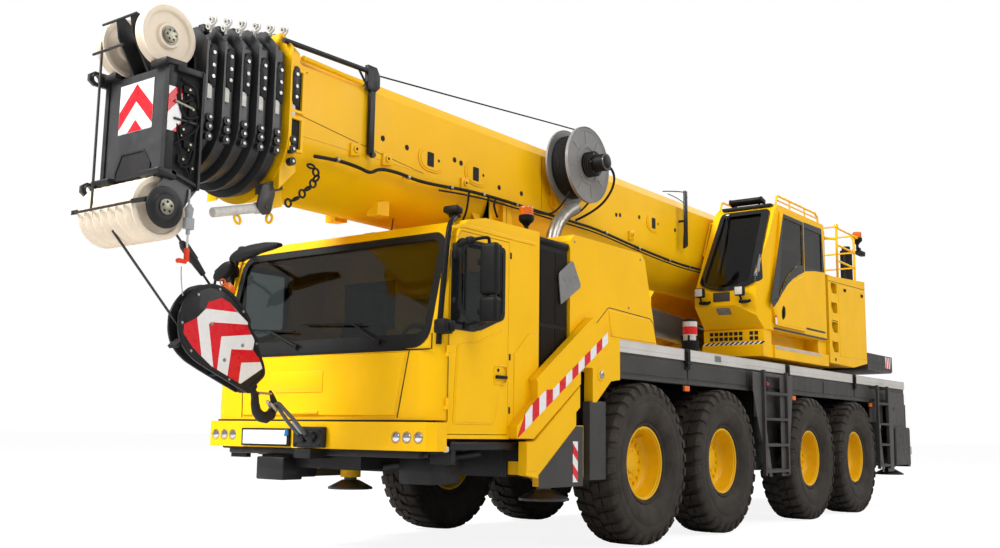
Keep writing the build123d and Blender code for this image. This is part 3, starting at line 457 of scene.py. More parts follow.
def makeRim():
    # deep bowl with its lock ring, disc, nuts and hub cap; the open side faces +x
    form = Shape()
    edge, half = wheel["flange"], wheel["rimHalf"]
    bowl = [(half - 0.004, edge - 0.001), (half, edge - 0.004), (half, edge - 0.016),
            (half - 0.004, edge - 0.021), (half - 0.016, edge - 0.023), (half - 0.02, edge - 0.03),
            (half - 0.045, edge - 0.034), (0.02, 0.294), (-0.012, 0.282), (-0.026, 0.262), (-0.031, 0.235),
            (-0.031, 0.165), (-0.031, 0.0)]
    back = [(-0.045, 0.0), (-0.045, 0.235), (-0.05, 0.29), (-half + 0.01, 0.312), (-half, 0.318),
            (-half, edge), (-half + 0.01, edge), (-half + 0.012, 0.3235), (half - 0.014, 0.3235),
            (half - 0.012, edge), (half - 0.004, edge - 0.001)]
    form.turned(bowl + back, (0, 0, 0), (1, 0, 0), 72)
    for y, z in around(wheel["nuts"], 0.205, pi / wheel["nuts"]):
        form.bolt((-0.031, y, z), (1, 0, 0), 0.015, 0.02)
    hub = [(-0.031, 0.15), (-0.012, 0.146), (-0.006, 0.138), (-0.006, 0.1), (0.01, 0.092), (0.014, 0.084),
           (0.014, 0)]
    form.turned(hub, (0, 0, 0), (1, 0, 0), 48)
    for y, z in around(10, 0.119):
        form.bolt((-0.006, y, z), (1, 0, 0), 0.008)
    form.bar((-0.02, 0.24, 0.1), (0.05, 0.262, 0.11), 0.007, 10)
    return form.toData("rim")


def putMesh(source, name, matrix, material, body, replaces=()):
    data = source.copy()
    data.name = name
    data.transform(matrix)
    data.materials.append(material)
    smoothMesh(data, 35)
    addPiece(name, data, body, replaces)


tyreMesh, rimMesh = makeTyre(), makeRim()
for number in range(1, 5):
    for side, sign in sides:
        node = f"wheel_{number}_{side}"
        spin = Matrix.Rotation(radians(37 * number), 4, "X")
        face = Matrix.Identity(4) if sign > 0 else Matrix.Rotation(pi, 4, "Z")
        place = Matrix.Translation(middleOf(node)) @ face @ spin
        putMesh(tyreMesh, f"tyre_{number}_{side}", place, tyreRubber, node, (node,))
        putMesh(rimMesh, f"rim_{number}_{side}", place, rimPaint, node)
print("wheels made")


# finishes of the CAD nodes
nodeFinish = {
    "carrier_frame": blackPaint, "axle_beams": blackPaint, "deck": bandPaint, "side_panels": greyPaint,
    "outrigger_boxes": blackPaint, "cab_shell": yellowPaint, "cab_glass": cabGlass, "cab_interior": seatCloth,
    "bumper": yellowPaint, "air_box": blackPlastic, "engine_block": blackPaint, "engine_cover": yellowPaint,
    "turntable": yellowPaint, "counterweight": greyPaint, "machine_cabinets": yellowPaint,
    "upper_cab_shell": yellowPaint, "upper_cab_glass": upperGlass, "upper_cab_door": yellowPaint,
    "hoist_drum": blackPaint, "boom_base": yellowPaint, "head_sheaves": creamNylon,
    "cable_reel": cylinderGrey,
    "hook_block": blackPaint, "hook": blackPaint, "lift_cylinder_barrel": cylinderGrey,
    "lift_cylinder_rod": chromeRod,
}
for node, material in nodeFinish.items():
    paintNode(node, material)
for number in range(1, 7):
    paintNode(f"boom_section_{number}", boomPaint)
for side, sign in sides:
    paintNode(f"cab_door_{side}", yellowPaint)
    paintNode(f"cab_mirror_{side}", blackPlastic)
    for number in range(1, 5):
        paintNode(f"knuckle_{number}_{side}", blackPaint)
    for pair in ("front", "rear"):
        paintNode(f"outrigger_beam_{pair}_{side}", yellowPaint if pair == "front" else greyPaint)
        paintNode(f"outrigger_jack_{pair}_{side}", boomPaint)


# front cab
cab = {"half": 1.25, "front": -2.905, "screenFoot": 1.61, "screenHead": 2.47, "lean": 0.205, "corner": 0.19,
       "open": {"half": 1.12, "low": 1.65, "high": 2.455, "round": 0.11}}


def cabSkin(x, z):
    # station of the cab's front skin at a place across and a height
    lean = 0.0
    if z > cab["screenFoot"]:
        lean = cab["lean"] * (z - cab["screenFoot"]) / (cab["screenHead"] - cab["screenFoot"])
    if z > cab["screenHead"]:
        lean = cab["lean"] + (z - cab["screenHead"]) * 1.05
    bend = 0.0
    beyond = abs(x) - (cab["half"] - cab["corner"])
    if beyond > 0:
        beyond = min(beyond, cab["corner"] * 0.999)
        bend = cab["corner"] - (cab["corner"] ** 2 - beyond ** 2) ** 0.5
    return cab["front"] + max(lean, bend)


def roundedOutline(field, grow, growLow, steps=6):
    # (x, z) points of a rounded rectangle, grown all round and more at its foot
    halfWidth, low, high = field["half"] + grow, field["low"] - growLow, field["high"] + grow
    radius = field["round"] + grow
    points = []
    for cx, cz, first in ((halfWidth - radius, high - radius, 0), (radius - halfWidth, high - radius, 90),
                          (radius - halfWidth, low + radius, 180), (halfWidth - radius, low + radius, 270)):
        for step in range(steps + 1):
            turn = radians(first + 90 * step / steps)
            points.append((cx + radius * cos(turn), cz + radius * sin(turn)))
    return points


def bandOnSkin(form, inner, outer, skin, lift, thick, rows=3, cuts=1):
    # a closed band between two outlines, laid on a skin that gives a station for (x, z)
    def dense(outline):
        points = []
        for (x0, z0), (x1, z1) in zip(outline, outline[1:] + outline[:1]):
            for cut in range(cuts):
                points.append((x0 + (x1 - x0) * cut / cuts, z0 + (z1 - z0) * cut / cuts))
        return points

    pairs = list(zip(dense(inner), dense(outer)))
    rings = []
    shares = [row / rows for row in range(rows + 1)]
    for share, depth in [(a, lift) for a in shares] + [(a, lift - thick) for a in shares[::-1]]:
        spots = [(a[0] + (b[0] - a[0]) * share, a[1] + (b[1] - a[1]) * share) for a, b in pairs]
        rings.append([(x, skin(x, z) - depth, z) for x, z in spots])
    form.loft(rings, closed=True)


def makeScreenFrame():
    form = Shape()
    inner, outer = roundedOutline(cab["open"], -0.03, -0.05), roundedOutline(cab["open"], 0.032, 0.055)
    bandOnSkin(form, inner, outer, cabSkin, 0.006, 0.018, cuts=3)
    form.done("windscreen_frame", blackPlastic, "carrier")
    # black lower band that holds the wiper spindles
    band = Shape()
    low = [(-1.165, 1.585), (1.165, 1.585), (1.165, 1.7), (-1.165, 1.7)]
    middle = [(-0.01, 1.64), (0.01, 1.64), (0.01, 1.642), (-0.01, 1.642)]
    bandOnSkin(band, middle, low, cabSkin, 0.004, 0.012, rows=4, cuts=14)
    band.done("windscreen_band", blackPlastic, "carrier")
    wipers = Shape()
    for pivot, elbow, tips in (((-0.23, 1.655), (-0.6, 1.8), ((-0.86, 1.815), (-0.28, 1.775))),
                               ((0.67, 1.655), (0.36, 1.81), ((-0.2, 1.835), (0.46, 1.8)))):
        def onGlass(place, lift):
            return Vector((place[0], cabSkin(*place) - lift, place[1]))
        wipers.bar(onGlass(pivot, -0.01), onGlass(pivot, 0.035), 0.022, 14)
        wipers.bar(onGlass(pivot, 0.028), onGlass(elbow, 0.036), 0.009, 8, 0.006)
        wipers.bar(onGlass((pivot[0] + 0.06, pivot[1]), 0.028), onGlass(elbow, 0.034), 0.005, 6)
        wipers.bar(onGlass(tips[0], 0.022), onGlass(tips[1], 0.022), 0.008, 6)
        wipers.bar(onGlass(tips[0], 0.012), onGlass(tips[1], 0.012), 0.004, 6)
    wipers.done("wipers", blackPlastic, "carrier")


def makeCabFront():
    panel = Shape()
    points = [(-0.86, 1.575), (0.96, 1.575), (0.86, 1.1), (-0.84, 1.1)]
    top = [(x * 0.985, z - 0.012 if z > 1.3 else z + 0.012) for x, z in points]
    panel.loft([lay(points, cab["front"] + 0.004, 1), lay(top, cab["front"] - 0.016, 1)])
    # bare raised field and the step lip at the foot
    panel.block((-0.5, -2.9265, 1.285), (0.1, -2.9205, 1.455), bevel=0.003)
    panel.block((-0.28, -2.935, 1.118), (0.06, -2.918, 1.142), bevel=0.004)
    panel.done("front_panel", yellowPaint, "carrier", bevel=0.004, smooth=30)
    # thin dark strips of painted shade along the panel's top edge, at its foot above the bumper and down its
    # two sloping sides
    darkLines = Shape()
    darkLines.block((-1.17, -2.9085, 1.578), (1.17, -2.9, 1.588))
    darkLines.block((-1.14, cab["front"] - 0.012, 1.046), (1.14, -2.79, 1.074))
    for sign in (-1, 1):
        foot, head = (0.868 if sign > 0 else 0.848), (0.97 if sign > 0 else 0.868)
        line = [(sign * foot, 1.09), (sign * head, 1.578), (sign * (head + 0.008), 1.578),
                (sign * (foot + 0.008), 1.09)]
        darkLines.prism(line, cab["front"] - 0.0035, -2.895, 1)
    darkLines.done("front_panel_shade_lines", rubber, "carrier")
    for side, sign in sides:
        # black duct down the corner pillar
        line = [(sign * 1.13, -2.6, 2.6), (sign * 1.185, -2.72, 2.555), (sign * 1.205, -2.775, 2.4),
                (sign * 1.21, -2.815, 2.1), (sign * 1.205, -2.845, 1.75), (sign * 1.205, -2.85, 1.62)]
        hose(f"pillar_duct_{side}", line, 0.022, blackPlastic, "carrier")
    top = Shape()
    top.block((1.02, -2.55, 2.622), (1.1, -2.49, 2.652), bevel=0.006)
    top.block((0.99, -2.585, 2.65), (1.13, -2.5, 2.705), turn=Matrix.Rotation(radians(-12), 3, "X"),
              bevel=0.014)
    top.block((0.13, -2.56, 2.5), (0.25, -2.5, 2.588), bevel=0.01)
    top.bar((0.2, -2.3, 2.62), (0.2, -2.3, 2.648), 0.028, 16, 0.02)
    top.bar((0.2, -2.3, 2.64), (0.14, -2.2, 2.9), 0.006, 8, 0.004)
    top.done("roof_fittings", blackPlastic, "carrier")


def makeLamp(form, lens, centre, axis, radius, depth=0.03):
    centre, axis = Vector(centre), Vector(axis).normalized()
    form.turned([(-depth, 0), (-depth, radius * 0.45), (-0.004, radius * 0.88), (0.004, radius * 0.92),
                 (0.004, radius), (-0.012, radius), (-depth - 0.006, radius * 0.6), (-depth - 0.006, 0)],
                 centre, axis, 32)
    form.turned([(-0.006, radius * 0.86), (0.004, radius * 0.7), (0.008, radius * 0.35), (0.009, 0)], centre,
                axis, 32)
    lens.bar(centre - axis * depth, centre - axis * depth * 0.3, radius * 0.22, 12, radius * 0.12)


def makeBumper():
    bowls, bulbs = Shape(), Shape()
    for sign in (-1, 1):
        for x in (0.905, 1.01, 1.12):
            makeLamp(bowls, bulbs, (sign * x, -2.948, 0.95), (0, -1, 0), 0.044)
    bowls.done("bumper_lamps", lampReflector, "carrier")
    bulbs.done("bumper_bulbs", palePlastic, "carrier")
    plate = Shape()
    plate.block((-0.77, -2.972, 0.865), (-0.2, -2.951, 1.005), bevel=0.006)
    plate.done("number_plate_holder", blackPlastic, "carrier")
    blank = Shape()
    blank.block((-0.745, -2.976, 0.88), (-0.225, -2.97, 0.99), bevel=0.002)
    blank.done("number_plate_blank", stripeWhite, "carrier")
    tow = Shape()
    tow.block((-0.13, -3.0, 0.862), (0.2, -2.951, 1.02), bevel=0.01)
    tow.block((-0.06, -3.035, 0.9), (0.02, -2.98, 0.985), bevel=0.012)
    tow.block((0.06, -3.03, 0.9), (0.12, -2.98, 0.985), bevel=0.012)
    for x in (-0.1, 0.17):
        for z in (0.885, 0.995):
            tow.bolt((x, -3.0, z), (0, -1, 0), 0.011)
    tow.bar((-0.07, -3.01, 0.945), (0.14, -3.01, 0.945), 0.017, 12)
    tow.done("tow_block", blackPaint, "carrier", bevel=0.002)
    below = Shape()
    # skirt, steps and pipework under the cab
    below.block((-1.05, -2.86, 0.8), (1.05, -2.8, 0.856), bevel=0.008)
    for side, sign in sides:
        for s, z in ((-2.7, 0.86), (-1.83, 0.87)):
            below.flank(sign, (1.02, 1.22), (s, s + 0.05), (z - 0.1, z + 0.07))
        below.flank(sign, (0.98, 1.23), (-2.72, -1.78), (0.862, 0.925), 0.012)
        below.flank(sign, (0.42, 1.0), (-2.7, -2.64), (0.8, 0.87), 0.006)
        below.bar((sign * 0.42, -2.55, 0.72), (sign * 1.1, -2.2, 0.84), 0.028, 12)
        below.bar((sign * 0.42, -2.1, 0.74), (sign * 1.1, -2.5, 0.8), 0.018, 10)
        below.stud(sign, (0.42, 1.0), -2.3, 0.9, 0.03, 12)
        below.flank(sign, (0.62, 0.95), (-2.6, -2.25), (0.6, 0.8), 0.02)
    below.block((-0.62, -2.93, 0.6), (-0.3, -2.72, 0.78), bevel=0.012)
    below.done("cab_underframe", blackPaint, "carrier", bevel=0.003)
    clear, shell = Shape(), Shape()
    for side, sign in sides:
        shell.flank(sign, (1.08, 1.22), (-2.8, -2.73), (0.835, 0.905), 0.014)
        clear.flank(sign, (1.1, 1.235), (-2.792, -2.738), (0.848, 0.892), 0.012)
    shell.done("corner_lamp_housings", blackPlastic, "carrier")
    clear.done("corner_lamps", palePlastic, "carrier")


lampReflector = finish("lampReflector", (0.72, 0.72, 0.73), 0.12, metal=1.0, tint=0.8, patch=30, spread=0.05)
makeScreenFrame()
makeCabFront()
makeBumper()
print("cab front made")


# helpers for flat work on the machine's sides
def offsetOutline(points, amount):
    # moves every edge of an outline outwards by the amount
    area = sum(a[0] * b[1] - b[0] * a[1] for a, b in zip(points, points[1:] + points[:1]))
    sense = 1 if area > 0 else -1
    moved = []
    for before, here, after in zip(points[-1:] + points[:-1], points, points[1:] + points[:1]):
        one = Vector((here[0] - before[0], here[1] - before[1])).normalized()
        two = Vector((after[0] - here[0], after[1] - here[1])).normalized()
        normal = (Vector((one.y, -one.x)) + Vector((two.y, -two.x))) * sense
        reach = amount / max(0.35, normal.length_squared / 2)
        moved.append((here[0] + normal.x * reach, here[1] + normal.y * reach))
    return moved


def roundCorners(points, radius, steps=4):
    # outline with its corners replaced by arcs
    result = []
    for before, here, after in zip(points[-1:] + points[:-1], points, points[1:] + points[:1]):
        corner = Vector(here)
        one, two = Vector(before) - corner, Vector(after) - corner
        cut = min(radius, one.length * 0.45, two.length * 0.45)
        start, end = corner + one.normalized() * cut, corner + two.normalized() * cut
        for step in range(steps + 1):
            t = step / steps
            spot = (1 - t) ** 2 * start + 2 * t * (1 - t) * corner + t ** 2 * end
            result.append((spot.x, spot.y))
    return result


def frameRing(form, inner, outer, low, high, axis=0):
    # a flat ring between two outlines with the same count of points, thick along the axis
    form.loft([lay(inner, low, axis), lay(outer, low, axis), lay(outer, high, axis), lay(inner, high, axis)],
              closed=True)


def stripes(red, white, start, end, width, count, low, high, slant=0.5, axis=0):
    # hazard tape from a start to an end, in slanted red and white fields
    start, end = Vector(start), Vector(end)
    along = (end - start).normalized()
    across = Vector((-along.y, along.x))
    pitch = (end - start).length / count
    lean = slant * width
    for index in range(count):
        form = white if index % 2 else red
        corners = []
        for run, side in ((index, 0), (index + 1, 0), (index + 1, 1), (index, 1)):
            reach = run * pitch + (lean if side else 0)
            reach = min(max(reach, 0), (end - start).length)
            corners.append(start + along * reach + across * width * side)
        if (corners[1] - corners[0]).length < 1e-4 or (corners[2] - corners[3]).length < 1e-4:
            continue
        form.prism([(c.x, c.y) for c in corners], low, high, axis)
    if lean:
        begin = start + across * width
        white.prism([(start.x, start.y), (begin.x + along.x * lean, begin.y + along.y * lean),
                     (begin.x, begin.y)], low, high, axis)


def tapePair(name, body, draw):
    # red and white fields of one piece of marking
    red, white = Shape(), Shape()
    draw(red, white)
    red.done(f"{name}_red", stripeRed, body)
    white.done(f"{name}_white", stripeWhite, body)


# doors, mirrors and the side of the front cab
door = {"window": [(-2.675, 1.9), (-2.675, 2.29), (-2.595, 2.405), (-2.14, 2.405), (-2.14, 1.88),
                   (-2.455, 1.76)],
        "border": [(-2.765, 1.735), (-2.76, 2.33), (-2.69, 2.425), (-2.118, 2.425), (-2.118, 1.862),
                   (-2.5, 1.732)],
        "handle": (-2.175, 1.43), "skin": 1.25}


def makeDoor(side, sign):
    body = f"front_door_{side}"
    outline = roundCorners(door["window"], 0.045)
    seal = Shape()
    frameRing(seal, offsetOutline(outline, -0.014), offsetOutline(outline, 0.02),
              *span(sign, door["skin"] - 0.03, door["skin"] + 0.006))
    frameRing(seal, offsetOutline(outline, -0.03), offsetOutline(outline, 0.004),
              *span(sign, door["skin"] - 0.034, door["skin"] - 0.012))
    bar = sign * (door["skin"] - 0.004)
    seal.bar((bar, -2.605, 1.85), (bar, -2.605, 2.395), 0.011, 10)
    seal.done(f"door_seal_{side}", rubber, body)
    border = Shape()
    frameRing(border, offsetOutline(outline, 0.004), roundCorners(door["border"], 0.045),
              *span(sign, door["skin"] - 0.004, door["skin"] + 0.0045))
    border.done(f"door_border_{side}", blackGloss, body)
    pane = Shape()
    pane.plate(sign, offsetOutline(outline, -0.012), door["skin"] - 0.026, door["skin"] - 0.021)
    pane.done(f"door_glass_{side}", cabGlass, body, smooth=0)
    # pressed lower field, and the handle in its tray
    skin = Shape()
    field = roundCorners([(-2.735, 1.05), (-2.7, 1.63), (-2.44, 1.67), (-2.12, 1.79), (-2.1, 1.6),
                          (-2.24, 1.05)], 0.04)
    for low, high, grow in ((0.0, 0.006, 0.0), (0.005, 0.01, -0.012)):
        skin.plate(sign, offsetOutline(field, grow), door["skin"] + low - 0.004, door["skin"] + high)
    s, z = door["handle"]
    tray = roundCorners([(s - 0.085, z - 0.075), (s - 0.085, z + 0.06), (s - 0.06, z + 0.075),
                         (s + 0.09, z + 0.075), (s + 0.09, z - 0.05), (s + 0.06, z - 0.075)], 0.02)
    frameRing(skin, offsetOutline(tray, -0.012), tray,
              *span(sign, door["skin"] + 0.004, door["skin"] + 0.017))
    skin.done(f"door_pressing_{side}", yellowPaint, body, bevel=0.004, smooth=40)
    grip = Shape()
    grip.flank(sign, (door["skin"] + 0.012, door["skin"] + 0.032), (s - 0.07, s + 0.072),
               (z - 0.03, z - 0.004), 0.008)
    grip.stud(sign, (door["skin"] + 0.008, door["skin"] + 0.014), s - 0.03, z + 0.035, 0.013, 16)
    for place in (s - 0.055, s + 0.055):
        grip.stud(sign, (door["skin"] + 0.004, door["skin"] + 0.02), place, z - 0.017, 0.009, 10)
    grip.done(f"door_handle_{side}", blackPlastic, body)
    trim = Shape()
    trim.plate(sign, [(-2.77, 1.7), (-2.77, 2.31), (-2.755, 2.33), (-2.755, 1.7)], door["skin"] - 0.006,
               door["skin"] + 0.004)
    trim.flank(sign, (1.14, 1.208), (-2.66, -2.16), (1.6, 1.655), 0.012)
    trim.flank(sign, (1.14, 1.208), (-2.62, -2.2), (1.2, 1.34), 0.012)
    trim.done(f"door_trim_{side}", blackPlastic, body)


def makeMirror(side, sign):
    body = f"front_door_{side}"
    shell, face = Shape(), Shape()
    for low, high in ((1.99, 2.37), (1.79, 1.975)):
        outline = roundCorners(oblong(1.395, 1.55, -2.64, -2.562), 0.036, 5)
        rings = []
        for z, grow in ((low, -0.016), (low + 0.012, -0.003), (low + 0.03, 0), (high - 0.03, 0),
                        (high - 0.012, -0.003), (high, -0.016)):
            rings.append([(sign * x, s, z) for x, s in offsetOutline(outline, grow)])
        shell.loft(rings)
        rim = roundCorners(oblong(1.402, 1.543, low + 0.008, high - 0.008), 0.022)
        flip = [(sign * x, z) for x, z in rim]
        frameRing(shell, offsetOutline(flip, -0.007), flip, -2.566, -2.553, axis=1)
        face.prism(offsetOutline(flip, -0.006), -2.563, -2.559, axis=1)
    for z in (2.24, 1.87):
        shell.flank(sign, (1.376, 1.435), (-2.575, -2.515), (z - 0.032, z + 0.032), 0.008)
        shell.bar((sign * 1.405, -2.53, z - 0.04), (sign * 1.405, -2.53, z + 0.04), 0.019, 16)
        shell.flank(sign, (1.36, 1.395), (-2.61, -2.57), (z - 0.022, z + 0.022), 0.006)
    shell.done(f"mirror_shell_{side}", blackPlastic, body, smooth=50, replaces=(f"cab_mirror_{side}",))
    face.done(f"mirror_face_{side}", chromeRod, body)
    x = sign * 1.405
    arm = [(sign * 1.262, -2.745, 2.345), (sign * 1.3, -2.7, 2.385), (sign * 1.355, -2.61, 2.415),
           (x, -2.535, 2.435), (x, -2.525, 2.4), (x, -2.53, 2.33), (x, -2.53, 1.8)]
    hose(f"mirror_arm_{side}", arm, 0.013, blackPlastic, body)
    foot = Shape()
    foot.flank(sign, (1.246, 1.285), (-2.775, -2.715), (2.25, 2.37), 0.012)
    foot.bar((sign * 1.262, -2.74, 2.345), (sign * 1.33, -2.655, 2.402), 0.02, 14, 0.015)
    foot.flank(sign, (1.3, 1.36), (-2.69, -2.63), (2.37, 2.425), 0.014)
    foot.bar((sign * 1.25, -2.6, 1.775), (x, -2.53, 1.815), 0.011, 12)
    foot.flank(sign, (1.246, 1.27), (-2.63, -2.57), (1.745, 1.8), 0.006)
    foot.done(f"mirror_foot_{side}", blackPlastic, body)


def makeCabSide(side, sign):
    dark, skin = Shape(), Shape()
    # kerb mirror at the foot of the pillar
    dark.flank(sign, (1.2, 1.31), (-2.915, -2.815), (1.69, 1.8), 0.022)
    dark.flank(sign, (1.245, 1.335), (-2.865, -2.808), (1.7, 1.79), 0.024)
    dark.bar((sign * 1.17, -2.84, 1.735), (sign * 1.24, -2.85, 1.74), 0.022, 14)
    # grab rails behind the door and the dark joint of the rear pillar
    for z in (1.14, 1.55, 2.35):
        dark.flank(sign, (1.248, 1.2535), (-2.055, -2.035), (z, z + 0.05), 0.001)
    dark.done(f"kerb_mirror_{side}", blackPlastic, "carrier")
    # crease of the rear corner, roof gutter and the corner panel's fold
    skin.plate(sign, [(-1.99, 1.0), (-1.99, 1.6), (-1.8, 1.78), (-1.68, 1.78), (-1.68, 1.0)], 1.246, 1.257)
    skin.plate(sign, [(-2.78, 2.495), (-2.66, 2.535), (-1.72, 2.535), (-1.72, 2.505), (-2.64, 2.505),
                      (-2.77, 2.475)], 1.245, 1.258)
    skin.done(f"cab_side_press_{side}", yellowPaint, "carrier", bevel=0.004)
    darkLines = Shape()
    darkLines.flank(sign, (1.2495, 1.2515), (-2.792, -2.788), (1.07, 2.46))
    darkLines.done(f"cab_side_joint_{side}", rubber, "carrier", smooth=0)


def makeFrontMirror():
    # large looking-down mirror on curved arms at the right-hand front corner
    body = "carrier"
    hose("front_mirror_arm_upper", [(-1.16, -2.62, 2.56), (-1.1, -2.78, 2.555), (-0.95, -2.95, 2.5),
                                    (-0.8, -3.045, 2.45)], 0.017, blackPlastic, body)
    hose("front_mirror_arm_lower", [(-1.21, -2.76, 2.34), (-1.18, -2.9, 2.36), (-1.12, -3.02, 2.34),
                                    (-1.08, -3.07, 2.3)], 0.013, blackPlastic, body)
    form = Shape()
    form.block((-1.24, -2.86, 2.3), (-1.18, -2.74, 2.4), bevel=0.012)
    arch = [(-0.915, 2.35), (-0.9, 2.395), (-0.84, 2.432), (-0.7, 2.462), (-0.52, 2.468), (-0.385, 2.452),
            (-0.372, 2.425), (-0.47, 2.405), (-0.6, 2.388), (-0.7, 2.362), (-0.82, 2.335)]
    form.prism([(0.1044 + x * 1.12, z + 0.03) for x, z in roundCorners(arch, 0.03)], -3.075, -3.015, 1,
               bevel=0.02)
    oval = [(-0.985 + 0.115 * a, 2.3 + 0.066 * b + 0.045 * a) for a, b in around(24, 1)]
    form.prism(oval, -3.09, -3.02, 1, bevel=0.018)
    form.bar((-1.08, -3.06, 2.3), (-1.1, -3.06, 2.2), 0.012, 10)
    form.done("front_mirror", blackPlastic, body, smooth=50)


for side, sign in sides:
    makeDoor(side, sign)
    makeMirror(side, sign)
    makeCabSide(side, sign)
makeFrontMirror()
print("cab sides made")


# air boxes, exhaust, beacon and the engine cover
cover = {"plate": [(-1.335, 2.06), (-1.37, 2.3), (-1.355, 2.335), (-1.175, 2.455), (-1.145, 2.45),
                   (-1.03, 2.27), (-1.035, 2.24)]}


airBox = {"louvres": 22, "foot": 1.36, "pitch": 0.055, "height": 0.022}


def makeAirBoxes():
    ribs, plates = Shape(), Shape()
    for side, sign in sides:
        # louvres in front, panel joints on the side
        for step in range(airBox["louvres"]):
            z = airBox["foot"] + airBox["pitch"] * step
            ribs.flank(sign, (0.5, 1.19), (-1.646, -1.634), (z, z + airBox["height"]), 0.003)
        for s0, s1 in ((-1.612, -1.42), (-1.4, -1.228)):
            ribs.plate(sign, roundCorners(oblong(s0, s1, 1.33, 1.86), 0.02), 1.233, 1.239)
            ribs.plate(sign, roundCorners(oblong(s0, s1, 1.89, 2.5), 0.02), 1.233, 1.239)
        ribs.flank(sign, (0.46, 1.243), (-1.648, -1.192), (2.535, 2.6), 0.012)
        plates.plate(sign, roundCorners(cover["plate"], 0.02), 1.246, 1.2565)
    ribs.done("air_box_panels", airBoxPlastic, "carrier", bevel=0.002)
    plates.done("blank_side_plates", blankPlate, "carrier", bevel=0.002)


def makeBeacon(name, centre, body, stalk=0.0, size=1.0):
    # amber beacon on a flanged foot, with its ribbed lens and cap
    foot, lens, cap = Shape(), Shape(), Shape()
    centre = Vector(centre)
    if stalk:
        foot.bar(centre - Vector((0, 0, stalk)), centre, 0.012, 12)
        foot.bar(centre - Vector((0, 0, stalk)), centre - Vector((0, 0, stalk - 0.03)), 0.028, 16, 0.016)
        foot.bar(centre - Vector((0, 0, 0.05)), centre - Vector((0, 0, 0.0)), 0.02, 12)
    foot.turned([(0.0, 0.0), (0.0, 0.026 * size), (0.015 * size, 0.034 * size), (0.035 * size, 0.058 * size),
                 (0.05 * size, 0.066 * size), (0.085 * size, 0.066 * size), (0.09 * size, 0.06 * size),
                 (0.09 * size, 0)], centre, (0, 0, 1), 32)
    outline = [(0.086 * size, 0.0), (0.088 * size, 0.058 * size)]
    for step in range(6):
        z = (0.092 + 0.011 * step) * size
        outline += [(z, 0.06 * size), (z + 0.006 * size, 0.0585 * size)]
    outline += [(0.163 * size, 0.056 * size), (0.168 * size, 0.048 * size), (0.168 * size, 0.0)]
    lens.turned(outline, centre, (0, 0, 1), 32)
    cap.turned([(0.1675 * size, 0), (0.1675 * size, 0.03 * size), (0.172 * size, 0.02 * size),
                (0.173 * size, 0)], centre, (0, 0, 1), 24)
    foot.done(f"{name}_foot", blackPlastic, body)
    lens.done(f"{name}_lens", amberGlass, body)
    cap.done(f"{name}_cap", orangePlastic, body)


exhaust = {"across": 0.9, "radius": 0.062, "mouth": 0.93,
           "path": ((-1.0, 2.5), (-0.965, 2.66), (-0.93, 2.76), (-0.87, 2.86), (-0.79, 2.94), (-0.69, 3.01),
                    (-0.575, 3.065))}


def makeExhaust():
    pipe, rings = Shape(), []
    path = [Vector((exhaust["across"], s, z)) for s, z in exhaust["path"]]
    for index, place in enumerate(path):
        run = (path[min(index + 1, len(path) - 1)] - path[max(index - 1, 0)]).normalized()
        other = run.cross(Vector((1, 0, 0)))
        rings.append([place + a * Vector((1, 0, 0)) + b * other for a, b in around(28, exhaust["radius"])])
    mouth = [path[-1] + (spot - path[-1]) * exhaust["mouth"] for spot in rings[-1]]
    run = (path[-1] - path[-2]).normalized()
    pipe.loft(rings + [mouth, [spot - run * 0.1 for spot in mouth]], crossed=True)
    pipe.turned(oblong(-0.012, 0.012, 0.062, 0.068), path[1], (path[2] - path[0]), 28)
    pipe.done("exhaust_bend", stainless, "carrier", smooth=60)
    base = Shape()
    base.turned([(0, 0.06), (0, 0.105), (0.03, 0.105), (0.045, 0.075), (0.045, 0.06)], (0.9, -0.985, 2.56),
                (0, 0, 1), 28)
    base.block((0.7, -1.15, 2.5), (1.12, -0.96, 2.58), bevel=0.02)
    base.done("exhaust_base", blackPlastic, "carrier")


wing = {"tapes": 14, "pitch": 0.095, "start": -2.045, "foot": 0.955, "rise": 0.622}


def tapeEdge(s):
    # foot and top of the diagonal tape, kept inside the front end of the beam
    foot = wing["foot"] + wing["rise"] * (s - wing["start"])
    tall = min(0.145 if s < -1.58 else 0.095, 0.95 + 1.765 * (s + 2.055) - foot)
    return foot, foot + tall


def wingTape(red, white, low, high):
    for index in range(wing["tapes"]):
        first, last = (wing["start"] + wing["pitch"] * step for step in (index, index + 1))
        (foot, top), (lastFoot, lastTop) = tapeEdge(first), tapeEdge(last)
        form = white if index % 2 else red
        form.prism([(first, foot), (last, lastFoot), (last, lastTop), (first, top)], low, high)


